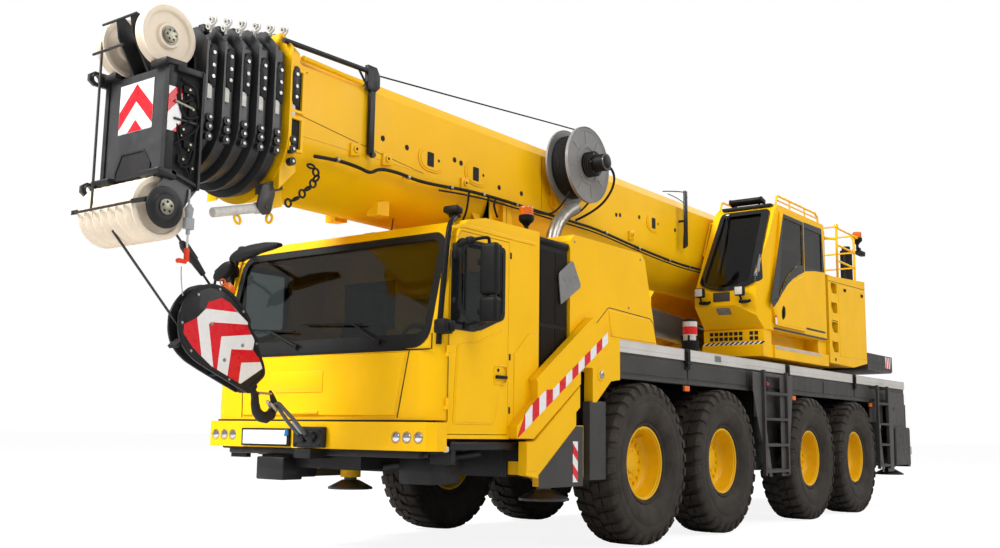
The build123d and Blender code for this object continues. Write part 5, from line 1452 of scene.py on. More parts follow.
def makeBoomBase():
    body = "boom"
    skin, dark, seams = Shape(), Shape(), Shape()
    half = boom["half"]
    for side, sign in sides:
        for s, z in boom["holes"]:
            dark.stud(sign, (half - 0.004, half + 0.002), s, z, 0.024, 20)
        for s, z in boom["pockets"]:
            outline = [(s + (0.17 if a > 0 else -0.17) * abs(a) ** 0.7, z + 0.105 * b)
                       for a, b in around(28, 1)]
            skin.plate(sign, outline, half - 0.002, half + 0.008)
            skin.plate(sign, [(s + (a - s) * 0.86, z + (b - z) * 0.84) for a, b in outline], half,
                       half + 0.013)
            dark.plate(sign, roundCorners(oblong(s - 0.065, s + 0.02, z - 0.062, z + 0.062), 0.012),
                       half + 0.012, half + 0.0145)
            dark.stud(sign, (half + 0.012, half + 0.0145), s + 0.085, z + 0.01, 0.014, 14)
        # doubler plate along the lower flank; its weld and the long joint are dark-yellow lines of painted
        # shade
        skin.plate(sign, [(-3.6, 3.135), (-3.6, 3.29), (-2.6, 3.175), (-2.18, 3.135)], half - 0.001,
                   half + 0.004)
        seams.plate(sign, [(-3.6, 3.29), (-3.6, 3.296), (-2.6, 3.181), (-2.15, 3.135), (-2.18, 3.135),
                           (-2.6, 3.175)], half + 0.001, half + 0.005)
        for s in (-0.42, 2.55, 4.6):
            seams.plate(sign, oblong(s, s + 0.006, 3.14, 3.66), half - 0.001, half + 0.0015)
        # lashing lugs low on the flank
        for s in (-2.98, -2.62, -1.62, 1.3, 3.3):
            z = 3.165
            skin.plate(sign, [(s - 0.05, z - 0.07), (s - 0.05, z + 0.03), (s + 0.05, z + 0.05),
                              (s + 0.06, z - 0.05)], half - 0.004, half + 0.022, 0.003)
            skin.stud(sign, (half + 0.02, half + 0.036), s, z - 0.01, 0.026, 18)
            dark.stud(sign, (half + 0.034, half + 0.0375), s, z - 0.01, 0.012, 12)
    # ribs, pocket and knobs on the base section's collar
    for side, sign in sides:
        x = half + boom["collar"]
        for z0, z1 in ((3.27, 3.6), (2.98, 3.24)):
            frameRing(skin, oblong(-3.69, -3.6, z0 + 0.02, z1 - 0.02), oblong(-3.71, -3.575, z0, z1),
                      *span(sign, x - 0.02, x + 0.022))
            dark.plate(sign, oblong(-3.69, -3.6, z0 + 0.02, z1 - 0.02), x - 0.01, x + 0.002)
        skin.plate(sign, [(-3.715, 2.7), (-3.715, 2.98), (-3.58, 2.98), (-3.56, 2.86)], half - 0.12,
                   half - 0.005)
        skin.plate(sign, [(-3.64, 3.62), (-3.64, 3.7), (-3.5, 3.62)], half, half + 0.03)
    skin.done("boom_base_plates", yellowPaint, body, bevel=0.002)
    dark.done("boom_base_holes", rubber, body)
    seams.done("boom_base_seam_shade", seamPaint, body, smooth=0)
    # frames and the stiffener under the base section, ahead of the lift cylinder
    under = Shape()
    under.prism([(-1.62, 3.16), (-1.36, 2.84), (-1.31, 2.84), (-1.31, 3.16)], 0.335, 0.36)
    under.prism([(-1.62, 3.16), (-1.36, 2.84), (-1.31, 2.84), (-1.31, 3.16)], -0.36, -0.335)
    for side, sign in sides:
        low, high = span(sign, 0.33, 0.43)
        frameRing(under, oblong(-1.22, -1.06, 2.9, 3.06), oblong(-1.27, -1.01, 2.86, 3.1), low, high)
        under.prism(oblong(-1.27, -1.26, 2.86, 3.1), low, high)
        under.plate(sign, [(-0.98, 2.66), (-0.98, 3.14), (-0.95, 3.14), (-0.86, 2.8), (-0.86, 2.66)], 0.2,
                    0.415)
        under.plate(sign, [(-2.58, 2.72), (-2.58, 2.83), (-2.44, 2.86), (-2.44, 2.73)], 0.18, 0.3)
    under.done("boom_under_frames", yellowPaint, body, bevel=0.003)
    # stay pole, its posts and the cable to the reel
    steel = Shape()
    steel.block((0.425, -2.86, 3.14), (0.455, -2.8, 3.72), bevel=0.006)
    steel.prism([(-2.9, 3.66), (-2.9, 3.86), (-2.8, 3.86), (-2.76, 3.8), (-2.76, 3.7), (-2.8, 3.66)], 0.42,
                0.46, bevel=0.005)
    steel.bar((0.44, -2.82, 3.14), (0.475, -2.82, 3.14), 0.022, 14)
    steel.bar((0.44, -3.76, 3.795), (0.44, -2.8, 3.815), 0.02, 14)
    steel.bar((0.3, -2.9, 3.7), (0.44, -2.86, 3.72), 0.01, 10)
    steel.bar((0.44, -2.98, 3.795), (0.44, -2.9, 3.7), 0.009, 8)
    steel.block((0.485, 2.42, 3.34), (0.515, 2.48, 3.86), bevel=0.006)
    steel.prism([(2.4, 3.16), (2.42, 3.36), (2.48, 3.36), (2.48, 3.2)], 0.485, 0.515, bevel=0.004)
    steel.bar((0.41, 2.45, 3.5), (0.49, 2.45, 3.5), 0.014, 10)
    for z in (3.42, 3.6, 3.78):
        steel.bar((0.512, 2.45, z), (0.522, 2.45, z), 0.01, 10)
    steel.done("cable_posts", blackPaint, body)
    pale = Shape()
    pale.bar((0.43, -3.56, 3.72), (0.43, -2.93, 3.7), 0.02, 14)
    pale.done("stay_bar", yellowPaint, body)
    hose("reel_cable", [(0.45, -2.8, 3.8), (0.56, -1.6, 3.86), (0.64, -0.42, 3.935), (0.64, -0.16, 3.955)],
         0.0065, rubber, body)
    hose("post_wire", [(0.5, 2.43, 3.84), (0.44, 2.3, 3.84), (0.36, 2.15, 3.815)], 0.006, rubber, body)
    hose("post_wire_lower", [(0.5, 2.43, 3.7), (0.46, 2.36, 3.76), (0.4, 2.2, 3.79)], 0.005, rubber, body)
    line = [(0.445, -3.42, 3.0), (0.455, -3.2, 3.02), (0.455, -2.95, 3.01), (0.46, -2.84, 2.985),
            (0.46, -2.74, 3.05), (0.46, -2.5, 3.06), (0.46, -2.3, 3.04), (0.46, -2.04, 3.05),
            (0.46, -1.64, 3.085), (0.46, -1.2, 3.095), (0.46, -0.57, 3.09), (0.46, 0.0, 3.09),
            (0.46, 0.52, 3.09), (0.46, 1.35, 3.02), (0.46, 2.29, 2.97), (0.46, 2.81, 2.975),
            (0.46, 3.6, 2.98)]
    hose("flank_hose", line, 0.014, rubber, body)
    hose("flank_hose_thin", [(x + 0.004, s + 0.03, z - 0.038) for x, s, z in line[7:]], 0.008, rubber, body)
    branches = [((0.46, -1.6, 3.08), (0.45, -1.6, 2.98), (0.42, -1.6, 2.86), (0.34, -1.6, 2.74)),
                ((0.46, -1.2, 3.09), (0.47, -1.26, 3.05), (0.46, -1.22, 2.97), (0.44, -1.16, 2.93)),
                ((0.46, -0.62, 3.08), (0.5, -0.44, 3.05), (0.6, -0.34, 3.16), (0.66, -0.3, 3.3)),
                ((0.46, -0.25, 3.08), (0.54, -0.14, 3.08), (0.66, -0.06, 3.16), (0.72, 0.0, 3.28))]
    for index, branch in enumerate(branches):
        hose(f"flank_branch_{index + 1}", branch, 0.01, rubber, body)
    clips = Shape()
    for s, z in ((-3.2, 3.02), (-2.4, 3.045), (-1.85, 3.065), (-1.4, 3.09), (-0.9, 3.09), (-0.2, 3.09),
                 (0.7, 3.08), (1.4, 3.015), (2.1, 2.98), (2.6, 2.97), (3.2, 2.975)):
        clips.turned(oblong(-0.014, 0.014, 0.0, 0.019), (0.46, s, z), (0, 1, 0), 16)
        clips.bar((0.4, s, z + 0.01), (0.455, s, z + 0.01), 0.009, 8)
    clips.done("hose_clips", zinc, body)
    # chain that holds the jib pin, hung from the flank
    chain, links = Shape(), [(-3.49, 2.93), (-3.42, 2.9), (-3.39, 2.86), (-3.41, 2.81), (-3.45, 2.77),
                             (-3.5, 2.72), (-3.56, 2.67), (-3.62, 2.62), (-3.7, 2.585)]
    for index, (s, z) in enumerate(links[:-1]):
        nextS, nextZ = links[index + 1]
        middle = Vector((0.45, (s + nextS) / 2, (z + nextZ) / 2))
        run = Vector((0, nextS - s, nextZ - z)).normalized()
        tilt = Vector((1, 0, 0)) if index % 2 else run.cross(Vector((1, 0, 0)))
        chain.ring(middle, tilt, 0.028, 0.0085, 16, 8)
    chain.done("pin_chain", blackPaint, body)


def makeCollars():
    # wear pads, adjusters and the lugs on every collar
    for number in range(0, 6):
        body = "boom" if number == 0 else f"boom_section_{number}"
        front = boom["front"] - boom["pitch"] * number
        half = boom["half"] - boom["step"] * number + boom["collar"]
        top = boom["top"] - boom["step"] * number + boom["collar"]
        lugs, caps, clips, pads = Shape(), Shape(), Shape(), Shape()
        for side, sign in sides:
            for z in (3.09, 3.025, 2.955) if number else (3.06, 2.99, 2.9):
                lugs.stud(sign, (half - 0.01, half + 0.034), front + 0.045, z, 0.03, 18)
                caps.stud(sign, (half + 0.034, half + 0.042), front + 0.045, z, 0.011, 12)
            # black bracket with its adjusters above, and the pale pad below it
            lugs.plate(sign, roundCorners([(front + 0.02, 3.34), (front + 0.015, 3.56), (front + 0.045, 3.62),
                                           (front + 0.085, 3.6), (front + 0.08, 3.3)], 0.02), half - 0.012,
                                           half + 0.03, 0.003)
            for z in (3.55, 3.46, 3.38):
                caps.stud(sign, (half + 0.03, half + 0.04), front + 0.052, z, 0.013, 12)
            pads.plate(sign, oblong(front + 0.022, front + 0.06, 3.225, 3.325), half - 0.006, half + 0.02,
                       0.003)
            for x in (0.16, 0.26):
                lugs.bar((sign * x, front + 0.05, top - 0.01), (sign * x, front + 0.05, top + 0.03), 0.026,
                         16)
                caps.bar((sign * x, front + 0.05, top + 0.03), (sign * x, front + 0.05, top + 0.036), 0.01,
                         10)
            # gusset that stiffens the collar
            lugs.plate(sign, [(front + 0.1, 3.3), (front + 0.1, 3.1), (front + 0.155, 3.12),
                              (front + 0.115, 3.3)], half - 0.058, half - 0.03)
        # lug that stands on top
        lugs.prism(roundCorners([(front + 0.022, top - 0.01), (front + 0.022, top + 0.075),
                                 (front + 0.04, top + 0.1), (front + 0.07, top + 0.1),
                                 (front + 0.078, top + 0.06), (front + 0.078, top - 0.01)], 0.02), -0.06,
                                 0.06, bevel=0.004)
        lugs.prism(oblong(front + 0.03, front + 0.08, top - 0.01, top + 0.05), 0.2, 0.26, bevel=0.004)
        # pale guide rollers for the cable
        for x, lift in ((0.31, 0.045), (0.335, 0.09)):
            clips.turned([(-0.022, 0.01), (-0.022, 0.022), (-0.008, 0.015), (0.008, 0.015), (0.022, 0.022),
                          (0.022, 0.01)], (x, front + 0.05, top + lift - 0.02), (0, 1, 0.35), 16)
        clips.bar((0.315, front + 0.05, top - 0.02), (0.335, front + 0.05, top + 0.075), 0.007, 8)
        clips.ring((0.345, front + 0.05, top + 0.06), (0, 1, 0), 0.026, 0.008, 18, 8)
        lugs.done(f"collar_lugs_{number}", blackPaint, body)
        caps.done(f"collar_adjusters_{number}", zinc, body)
        pads.done(f"collar_pads_{number}", palePlastic, body)
        clips.done(f"cable_guides_{number}", palePlastic, body)


# dark yellow for painted shade along welds and joints
seamPaint = finish("seamPaint", (0.3, 0.15, 0.003), 0.5, tint=0.8, patch=4)
makeBoomBase()
makeCollars()
print("boom made")


# boom head
head = {"half": 0.35, "front": -4.64, "body": "boom_section_6",
        "low": (-4.62, 2.41), "high": (-4.6, 3.6), "radius": 0.21}


def sheaveOutline(width, radius):
    half = width / 2
    return [(-half, 0.046), (-half, 0.082), (-half + 0.004, 0.086), (-half * 0.48, 0.09),
            (-half * 0.45, 0.15), (-half * 0.55, 0.164), (-half + 0.003, 0.172), (-half, 0.178),
            (-half, radius - 0.004), (-half + 0.004, radius), (-half + 0.009, radius - 0.001),
            (-0.013, radius - 0.024), (0, radius - 0.028), (0.013, radius - 0.024),
            (half - 0.009, radius - 0.001), (half - 0.004, radius), (half, radius - 0.004), (half, 0.178),
            (half - 0.003, 0.172), (half * 0.55, 0.164), (half * 0.45, 0.15), (half * 0.48, 0.09),
            (half - 0.004, 0.086), (half, 0.082), (half, 0.046)]


def makeSheaves():
    body = head["body"]
    nylon, hubs, bolts = Shape(), Shape(), Shape()
    for index in range(7):
        nylon.turned(sheaveOutline(0.087, head["radius"]), ((index - 3) * 0.088, *head["low"]), (1, 0, 0), 64)
    for side, sign in sides:
        x = sign * 0.225
        nylon.turned(sheaveOutline(0.09, head["radius"]), (x, *head["high"]), (1, 0, 0), 72)
        centre = (x, *head["high"])
        hubs.turned([(-0.05, 0.0), (-0.05, 0.062), (-0.046, 0.066), (0.046, 0.066), (0.05, 0.062),
                     (0.05, 0.0)], centre, (1, 0, 0), 40)
        cap = (sign * 0.276, *head["high"])
        hubs.turned([(0, 0.0), (0, 0.055), (0.012, 0.052), (0.015, 0.04), (0.015, 0)], cap, (sign, 0, 0), 36)
        for a, b in around(6, 0.034):
            bolts.bolt((sign * 0.29, head["high"][0] + a, head["high"][1] + b), (sign, 0, 0), 0.006)
        low = (sign * 0.376, *head["low"])
        hubs.turned([(0, 0), (0, 0.052), (0.006, 0.052), (0.008, 0.048), (0.008, 0)], low, (sign, 0, 0), 36)
        for a, b in around(5, 0.033, 0.3):
            bolts.bolt((sign * 0.383, head["low"][0] + a, head["low"][1] + b), (sign, 0, 0), 0.007)
    nylon.done("sheave_pack", creamNylon, body, replaces=("head_sheaves",), smooth=40)
    hubs.done("sheave_hubs", hubZinc, body)
    bolts.done("sheave_bolts", blackPaint, body)


def makeHead():
    body, half = head["body"], head["half"]
    steel, dark, bolts = Shape(), Shape(), Shape()
    front = head["front"]
    # rims of the front plate and the edge of its opening
    for side, sign in sides:
        steel.prism([(sign * 0.35, 2.6), (sign * 0.35, 3.4), (sign * 0.318, 3.4), (sign * 0.318, 2.64)],
                    front - 0.012, front + 0.004, 1)
        # recessed side with its lips
        steel.plate(sign, oblong(-4.652, -4.585, 2.62, 3.39), half - 0.002, half + 0.01, 0.003)
        steel.plate(sign, oblong(-4.6, -4.385, 3.335, 3.378), half - 0.002, half + 0.034, 0.003)
        steel.plate(sign, oblong(-4.402, -4.384, 2.56, 3.37), half - 0.002, half + 0.04)
        steel.plate(sign, [(-4.6, 2.64), (-4.6, 2.662), (-4.385, 2.595), (-4.385, 2.575)], half - 0.002,
                    half + 0.03)
        steel.plate(sign, oblong(-4.6, -4.4, 3.005, 3.018), half - 0.002, half + 0.022)
        # dark sheet of painted shade on the floor of the recess
        dark.plate(sign, [(-4.584, 2.665), (-4.584, 3.334), (-4.403, 3.334), (-4.403, 2.61)], half - 0.001,
                   half + 0.003)
        # round end of the cheek with its bearing housing
        steel.turned([(0, 0), (0, 0.137), (0.006, 0.14), (0.012, 0.136), (0.014, 0.1), (0.02, 0.088),
                      (0.026, 0.082), (0.026, 0)], (sign * (half - 0.002), *head["low"]), (sign, 0, 0), 48)
        steel.plate(sign, roundCorners([(-4.7, 2.615), (-4.71, 2.66), (-4.56, 2.665), (-4.56, 2.6)], 0.014),
                    0.18, half + 0.03, 0.005)
        steel.plate(sign, roundCorners(oblong(-4.69, -4.52, 3.372, 3.412), 0.012), 0.2, half + 0.02, 0.005)
        for s in (-4.655, -4.555):
            bolts.bolt((sign * 0.34, s, 3.412), (0, 0, 1), 0.01)
    # front face: the opening, filled with a dark sheet of painted shade, its edges and the plates above
    dark.prism([(-0.185, 2.662), (-0.185, 2.7), (-0.12, 2.815), (0.12, 2.815), (0.19, 2.72), (0.19, 2.662)],
               front - 0.003, front - 0.0005, 1)
    frameRing(steel, [(-0.185, 2.662), (-0.185, 2.7), (-0.12, 2.815), (0.12, 2.815), (0.19, 2.72),
                      (0.19, 2.662)], [(-0.197, 2.65), (-0.197, 2.704), (-0.127, 2.827), (0.127, 2.827),
                                       (0.203, 2.726), (0.203, 2.65)], front - 0.009, front, 1)
    steel.prism(oblong(-0.318, 0.318, 2.64, 2.655), front - 0.012, front + 0.004, 1)
    for x in (-0.075, 0.085):
        steel.prism([(-4.63, 3.365), (-4.53, 3.365), (-4.66, 3.7), (-4.735, 3.755), (-4.79, 3.72),
                     (-4.77, 3.6)], x, x + 0.018, bevel=0.004)
    for s, z, x0, x1 in ((-4.8, 3.715, -0.21, 0.175), (-4.84, 3.5, -0.24, 0.11),
                         (-4.845, 2.41, -0.335, 0.335)):
        steel.bar((x0, s, z), (x1, s, z), 0.009, 12)
    for x in (-0.335, 0.335):
        steel.prism([(-4.855, 2.395), (-4.855, 2.425), (-4.72, 2.47), (-4.7, 2.44)], x - 0.008, x + 0.008)
    # tops of the lugs for the extension
    for z in (3.39, 2.6):
        for x in (-0.385, -0.345):
            steel.ring((x, head["front"] - 0.09, z - 0.01), (1, 0, 0), 0.036, 0.008, 28, 8)
    steel.done("head_plates", headPaint, body)
    dark.done("head_recess_shade", rubber, body)
    bolts.done("head_bolts", zinc, body)
    # markings at the front and on the near side
    plate, red, white = Shape(), Shape(), Shape()
    plate.prism(oblong(-0.192, 0.192, 2.965, 3.315), front - 0.003, front - 0.0005, 1)
    plate.done("head_board_back", zinc, body, slotName="aluminium")
    high, low = front - 0.0045, front - 0.003
    red.prism([(-0.188, 3.125), (0, 3.302), (0.188, 3.125), (0.188, 3.0), (0, 3.177), (-0.188, 3.0)], high,
              low, 1)
    red.prism([(-0.085, 2.97), (0, 3.052), (0.085, 2.97)], high, low, 1)
    white.prism([(-0.188, 3.125), (-0.188, 3.311), (0.188, 3.311), (0.188, 3.125), (0, 3.302)], high, low, 1)
    white.prism([(-0.188, 3.0), (0, 3.177), (0.188, 3.0), (0.188, 2.97), (0.085, 2.97), (0, 3.052),
                 (-0.085, 2.97), (-0.188, 2.97)], high, low, 1)
    for side, sign in sides:
        near, far = span(sign, half + 0.01, half + 0.0125)
        red.prism([(-4.645, 3.045), (-4.645, 3.165), (-4.595, 3.225), (-4.54, 3.225), (-4.54, 3.17)], near,
                  far)
        red.prism([(-4.605, 2.925), (-4.54, 3.0), (-4.54, 2.925)], near, far)
        white.prism([(-4.645, 3.165), (-4.645, 3.225), (-4.595, 3.225)], near, far)
        white.prism([(-4.645, 2.925), (-4.645, 3.045), (-4.54, 3.17), (-4.54, 3.0), (-4.605, 2.925)], near,
                    far)
    red.done("head_board_red", stripeRed, body)
    white.done("head_board_white", stripeWhite, body)


def makeHeadPlumbing():
    body, half = head["body"], head["half"]
    blocks, fittings = Shape(), Shape()
    for side, sign in sides:
        for s, z, ds, dz, dx in ((-4.5, 3.225, 0.09, 0.05, 0.03), (-4.46, 3.1, 0.06, 0.11, 0.022),
                                 (-4.535, 2.945, 0.05, 0.06, 0.03), (-4.47, 2.855, 0.095, 0.05, 0.026),
                                 (-4.525, 2.745, 0.07, 0.06, 0.03), (-4.44, 2.7, 0.04, 0.04, 0.02)):
            blocks.flank(sign, (half, half + dx), (s - ds / 2, s + ds / 2), (z - dz / 2, z + dz / 2), 0.004)
            fittings.stud(sign, (half + dx, half + dx + 0.01), s, z, 0.009, 6)
            x, foot = sign * (half + dx * 0.5), z - dz / 2
            fittings.bar((x, s, foot - 0.014), (x, s, foot), 0.007, 10)
        fittings.bar((sign * (half + 0.02), -4.6, 3.13), (sign * (half + 0.03), -4.47, 3.105), 0.009, 10)
    blocks.done("head_valves", blackPlastic, body)
    fittings.done("head_fittings", hubZinc, body)
    runs = (((-4.58, 3.18), (-4.55, 3.06), (-4.49, 3.02), (-4.42, 3.06)),
            ((-4.5, 3.19), (-4.45, 3.16), (-4.41, 3.02), (-4.43, 2.9)),
            ((-4.46, 3.03), (-4.52, 3.0), (-4.55, 2.92), (-4.5, 2.86)),
            ((-4.56, 3.3), (-4.5, 3.27), (-4.43, 3.24), (-4.41, 3.12)),
            ((-4.57, 2.98), (-4.56, 2.86), (-4.53, 2.8), (-4.53, 2.74)),
            ((-4.43, 2.9), (-4.46, 2.78), (-4.5, 2.7), (-4.45, 2.63)),
            ((-4.41, 3.0), (-4.44, 2.94), (-4.42, 2.8), (-4.45, 2.66)),
            ((-4.55, 2.72), (-4.49, 2.68), (-4.44, 2.75), (-4.42, 2.86)),
            ((-4.58, 2.84), (-4.54, 2.88), (-4.47, 2.92), (-4.42, 2.98)),
            ((-4.57, 3.26), (-4.57, 3.16), (-4.53, 3.12), (-4.47, 3.18)))
    for side, sign in sides:
        for index, run in enumerate(runs):
            out = [0.012 + 0.018 * ((index * 3 + k * 5) % 4) / 3 for k in range(len(run))]
            path = [(sign * (half + lift), s, z) for lift, (s, z) in zip(out, run)]
            hose(f"head_hose_{side}_{index + 1}", path, 0.006 if index % 3 else 0.009, rubber, body)
    # rope over the front of the head, and the limit switch with its weight line
    hose("hoist_rope_front", [(-0.225, -4.787, 3.6), (-0.176, -4.812, 2.41)], 0.009, wireRope, body,
         smoothLine=False)
    switch, flag, line = Shape(), Shape(), Shape()
    switch.block((0.35, -4.475, 2.29), (0.39, -4.405, 2.37), bevel=0.008)
    switch.turned([(-0.035, 0), (-0.035, 0.022), (0.03, 0.03), (0.045, 0.018), (0.06, 0.012), (0.06, 0)],
                  (0.37, -4.44, 2.4), (0, 0, 1), 20)
    switch.block((0.355, -4.45, 2.255), (0.38, -4.43, 2.29), bevel=0.004)
    switch.bar((0.37, -4.445, 2.46), (0.36, -4.44, 2.56), 0.007, 10)
    switch.done("limit_switch", switchGrey, body)
    line.bar((0.37, -4.441, 2.165), (0.37, -4.441, 2.255), 0.007, 10)
    line.done("limit_line", palePlastic, body)
    flag.block((0.358, -4.458, 2.075), (0.382, -4.425, 2.165), bevel=0.006)
    flag.block((0.36, -4.495, 2.06), (0.38, -4.44, 2.09), bevel=0.006)
    flag.turned(oblong(-0.012, 0.012, 0, 0.016), (0.37, -4.5, 2.075), (1, 0, 0), 18)
    flag.done("limit_flag", flagRed, body)
    loop = [(-4.475, 2.04), (-4.475, 1.95), (-4.45, 1.85)]
    hose("limit_chain", [(0.368, s, z) for s, z in loop], 0.0035, zinc, body)


def makeHeadTube():
    # strut below the collars with its bracket and lashing eyes
    body = "boom"
    tube, eyes, bracket = Shape(), Shape(), Shape()
    start, end = (0.3, -4.2, 2.455), (0.3, -3.7, 2.585)
    tube.bar(start, end, 0.034, 24)
    tube.bar((0.3, -3.83, 2.551), (0.3, -3.72, 2.58), 0.042, 24)
    tube.done("strut_tube", palePlastic, body)
    for s, z, turn in ((-3.985, 2.445, 0.25), (-3.7, 2.5, -0.2)):
        eyes.ring((0.3, s, z), (1, 0.2, turn), 0.032, 0.01, 28, 10)
    eyes.prism([(-3.72, 2.56), (-3.7, 2.7), (-3.62, 2.72), (-3.6, 2.6)], 0.28, 0.32)
    eyes.done("lashing_eyes", yellowPaint, body)
    bracket.prism(roundCorners([(-3.86, 2.56), (-3.82, 2.72), (-3.72, 2.73), (-3.7, 2.68), (-3.735, 2.52),
                                (-3.8, 2.5)], 0.02), 0.335, 0.355, bevel=0.003)
    bracket.prism([(-3.8, 2.66), (-3.8, 2.73), (-3.64, 2.8), (-3.62, 2.72)], 0.25, 0.345, bevel=0.004)
    bracket.bar((0.32, -3.775, 2.565), (0.362, -3.775, 2.565), 0.014, 16)
    bracket.done("strut_bracket", greyPaint, body)


# hook block, hook and what ties it down
blockPlace = {"middle": (-3.863, 1.626), "tilt": radians(44), "skin": 0.065}


def onBlock(across, along):
    # the block's own (rearward, rope-ward) place as (s, z)
    turn = blockPlace["tilt"]
    return (blockPlace["middle"][0] + across * cos(turn) - along * sin(turn),
            blockPlace["middle"][1] + across * sin(turn) + along * cos(turn))


def onBlockAll(points):
    return [onBlock(*point) for point in points]


def blockSpot(x, across, along):
    s, z = onBlock(across, along)
    return (x, s, z)


def makeHookBlock():
    body, skin = "hook_block", blockPlace["skin"]
    outline = [(-0.02, 0.417), (0.08, 0.414), (0.177, 0.364), (0.241, 0.29), (0.28, 0.19), (0.293, 0.067),
               (0.282, -0.06), (0.25, -0.08), (0.238, -0.19), (0.197, -0.278), (0.16, -0.4), (0.12, -0.452),
               (-0.085, -0.44), (-0.12, -0.36), (-0.17, -0.243), (-0.235, -0.09), (-0.285, 0.04),
               (-0.3, 0.13), (-0.29, 0.22), (-0.254, 0.29), (-0.177, 0.372), (-0.096, 0.405)]
    outline = roundCorners(outline, 0.03, 3)
    cheeks, dark, bolts, plates = Shape(), Shape(), Shape(), Shape()
    for side, sign in sides:
        cheeks.plate(sign, onBlockAll(outline), skin - 0.02, skin, 0.004)
        # lid along the upper edge, with the rim that keeps the rope in
        rim = offsetOutline(outline, -0.03)
        frameRing(cheeks, onBlockAll(rim), onBlockAll(offsetOutline(outline, -0.006)),
                  *span(sign, skin - 0.002, skin + 0.004))
        for across, along, radius in ((-0.015, 0.148, 0.017), (0.097, -0.143, 0.017), (-0.093, -0.118, 0.017),
                                      (0.262, 0.038, 0.013), (-0.27, 0.116, 0.013), (0.03, 0.375, 0.013),
                                      (-0.2, 0.31, 0.012), (0.2, 0.29, 0.012), (0.205, -0.215, 0.012),
                                      (-0.15, -0.25, 0.012)):
            bolts.bolt(blockSpot(sign * (skin + 0.003), across, along), (sign, 0, 0), radius * 0.6)
        plates.plate(sign, onBlockAll([(-0.196, 0.292), (-0.082, 0.258), (0.018, 0.259), (0.06, 0.283),
                                       (0.176, 0.232), (0.209, 0.16), (0.247, -0.06), (0.222, -0.165),
                                       (0.15, -0.235), (0.16, -0.372), (0.14, -0.395), (-0.117, -0.338),
                                       (-0.203, -0.098), (-0.228, 0.03), (-0.243, 0.13), (-0.238, 0.25)]),
                                       skin, skin + 0.0015)
    # sheaves, spacers and the ballast between the cheeks
    for x in (-0.022, 0.022):
        dark.turned(sheaveOutline(0.04, 0.19), blockSpot(x, 0, 0.06), (1, 0, 0), 56)
    dark.bar(blockSpot(-0.062, 0, 0.06), blockSpot(0.062, 0, 0.06), 0.05, 24)
    for ranges in ((-0.08, 0.1, -0.44, -0.32), (-0.07, 0.09, 0.3, 0.385)):
        dark.prism(onBlockAll(oblong(*ranges)), -0.046, 0.046, bevel=0.004)
    for across, along in ((0.235, 0.16), (-0.245, 0.17), (0.215, -0.15), (-0.185, -0.17)):
        dark.bar(blockSpot(-0.06, across, along), blockSpot(0.06, across, along), 0.013, 14)
    dark.bar(blockSpot(0, 0, -0.475), blockSpot(0, 0, -0.43), 0.048, 32)
    # plate above the block that the rope's guard stands on
    dark.prism(onBlockAll(oblong(-0.325, -0.25, 0.19, 0.215)), -0.05, 0.05)
    cheeks.done("block_cheeks", blackPaint, body, replaces=("hook_block",))
    dark.done("block_inside", rubber, body, slotName="black_paint")
    bolts.done("block_bolts", zinc, body)
    plates.done("block_boards", zinc, body, slotName="aluminium")
    red, white = Shape(), Shape()
    bands = ((red, [(0.176, 0.232), (0.209, 0.16), (0.218, 0.067), (0.018, 0.259), (0.06, 0.283)]),
             (red, [(-0.082, 0.258), (-0.196, 0.292), (-0.238, 0.25), (-0.243, 0.13), (-0.226, 0.03)]),
             (white, [(0.018, 0.259), (0.218, 0.067), (0.24, -0.03), (0.247, -0.072), (-0.001, 0.152),
                      (-0.033, 0.162), (-0.203, -0.098), (-0.226, 0.03), (-0.082, 0.258)]),
             (red, [(-0.001, 0.152), (0.247, -0.072), (0.23, -0.15), (-0.006, 0.026), (-0.189, -0.13),
                    (-0.203, -0.098), (-0.033, 0.162)]),
             (white, [(-0.006, 0.026), (0.23, -0.15), (0.216, -0.178), (0.17, -0.215), (0.143, -0.224),
                      (0.003, -0.099), (-0.156, -0.228), (-0.189, -0.13)]),
             (red, [(0.003, -0.099), (0.143, -0.224), (0.15, -0.24), (0.156, -0.35), (0.008, -0.23),
                    (-0.118, -0.334), (-0.156, -0.228)]),
             (white, [(0.008, -0.23), (0.156, -0.35), (0.158, -0.372), (0.14, -0.391), (-0.114, -0.334)]))
    for side, sign in sides:
        for form, points in bands:
            form.plate(sign, onBlockAll(points), skin + 0.0015, skin + 0.003)
    red.done("block_red", stripeRed, body)
    white.done("block_white", stripeWhite, body)
    orange = Shape()
    orange.prism(onBlockAll([(0.262, 0.19), (0.262, 0.262), (0.325, 0.262), (0.335, 0.215), (0.325, 0.18)]),
                 -0.03, 0.045, bevel=0.008)
    orange.ring(blockSpot(0.0, 0.3, 0.285), (1, 0, 0), 0.022, 0.005, 24, 8)
    orange.done("limit_weight", orangePlastic, body)
    # rope: the front fall over the lower sheave, and the dead end with its wedge socket
    hose("fall_front", [blockSpot(0, -0.199, 0.06), blockSpot(0, -0.195, 1.085)], 0.009, wireRope, body,
         smoothLine=False)
    hose("fall_rear", [blockSpot(0, 0.199, 0.06), blockSpot(0, 0.195, 1.085)], 0.009, wireRope, body,
         smoothLine=False)
    wedge = Shape()
    wedge.bar(blockSpot(0, 0.1985, 0.43), blockSpot(0, 0.1975, 0.56), 0.02, 18, 0.03)
    wedge.bar(blockSpot(0, 0.1975, 0.56), blockSpot(0, 0.197, 0.66), 0.03, 18, 0.024)
    wedge.prism(onBlockAll([(0.17, 0.55), (0.17, 0.68), (0.19, 0.72), (0.205, 0.72), (0.228, 0.68),
                            (0.228, 0.55)]), -0.022, 0.022, bevel=0.006)
    wedge.bar(blockSpot(-0.034, 0.198, 0.685), blockSpot(0.034, 0.198, 0.685), 0.011, 14)
    wedge.done("wedge_socket", blackPaint, body)


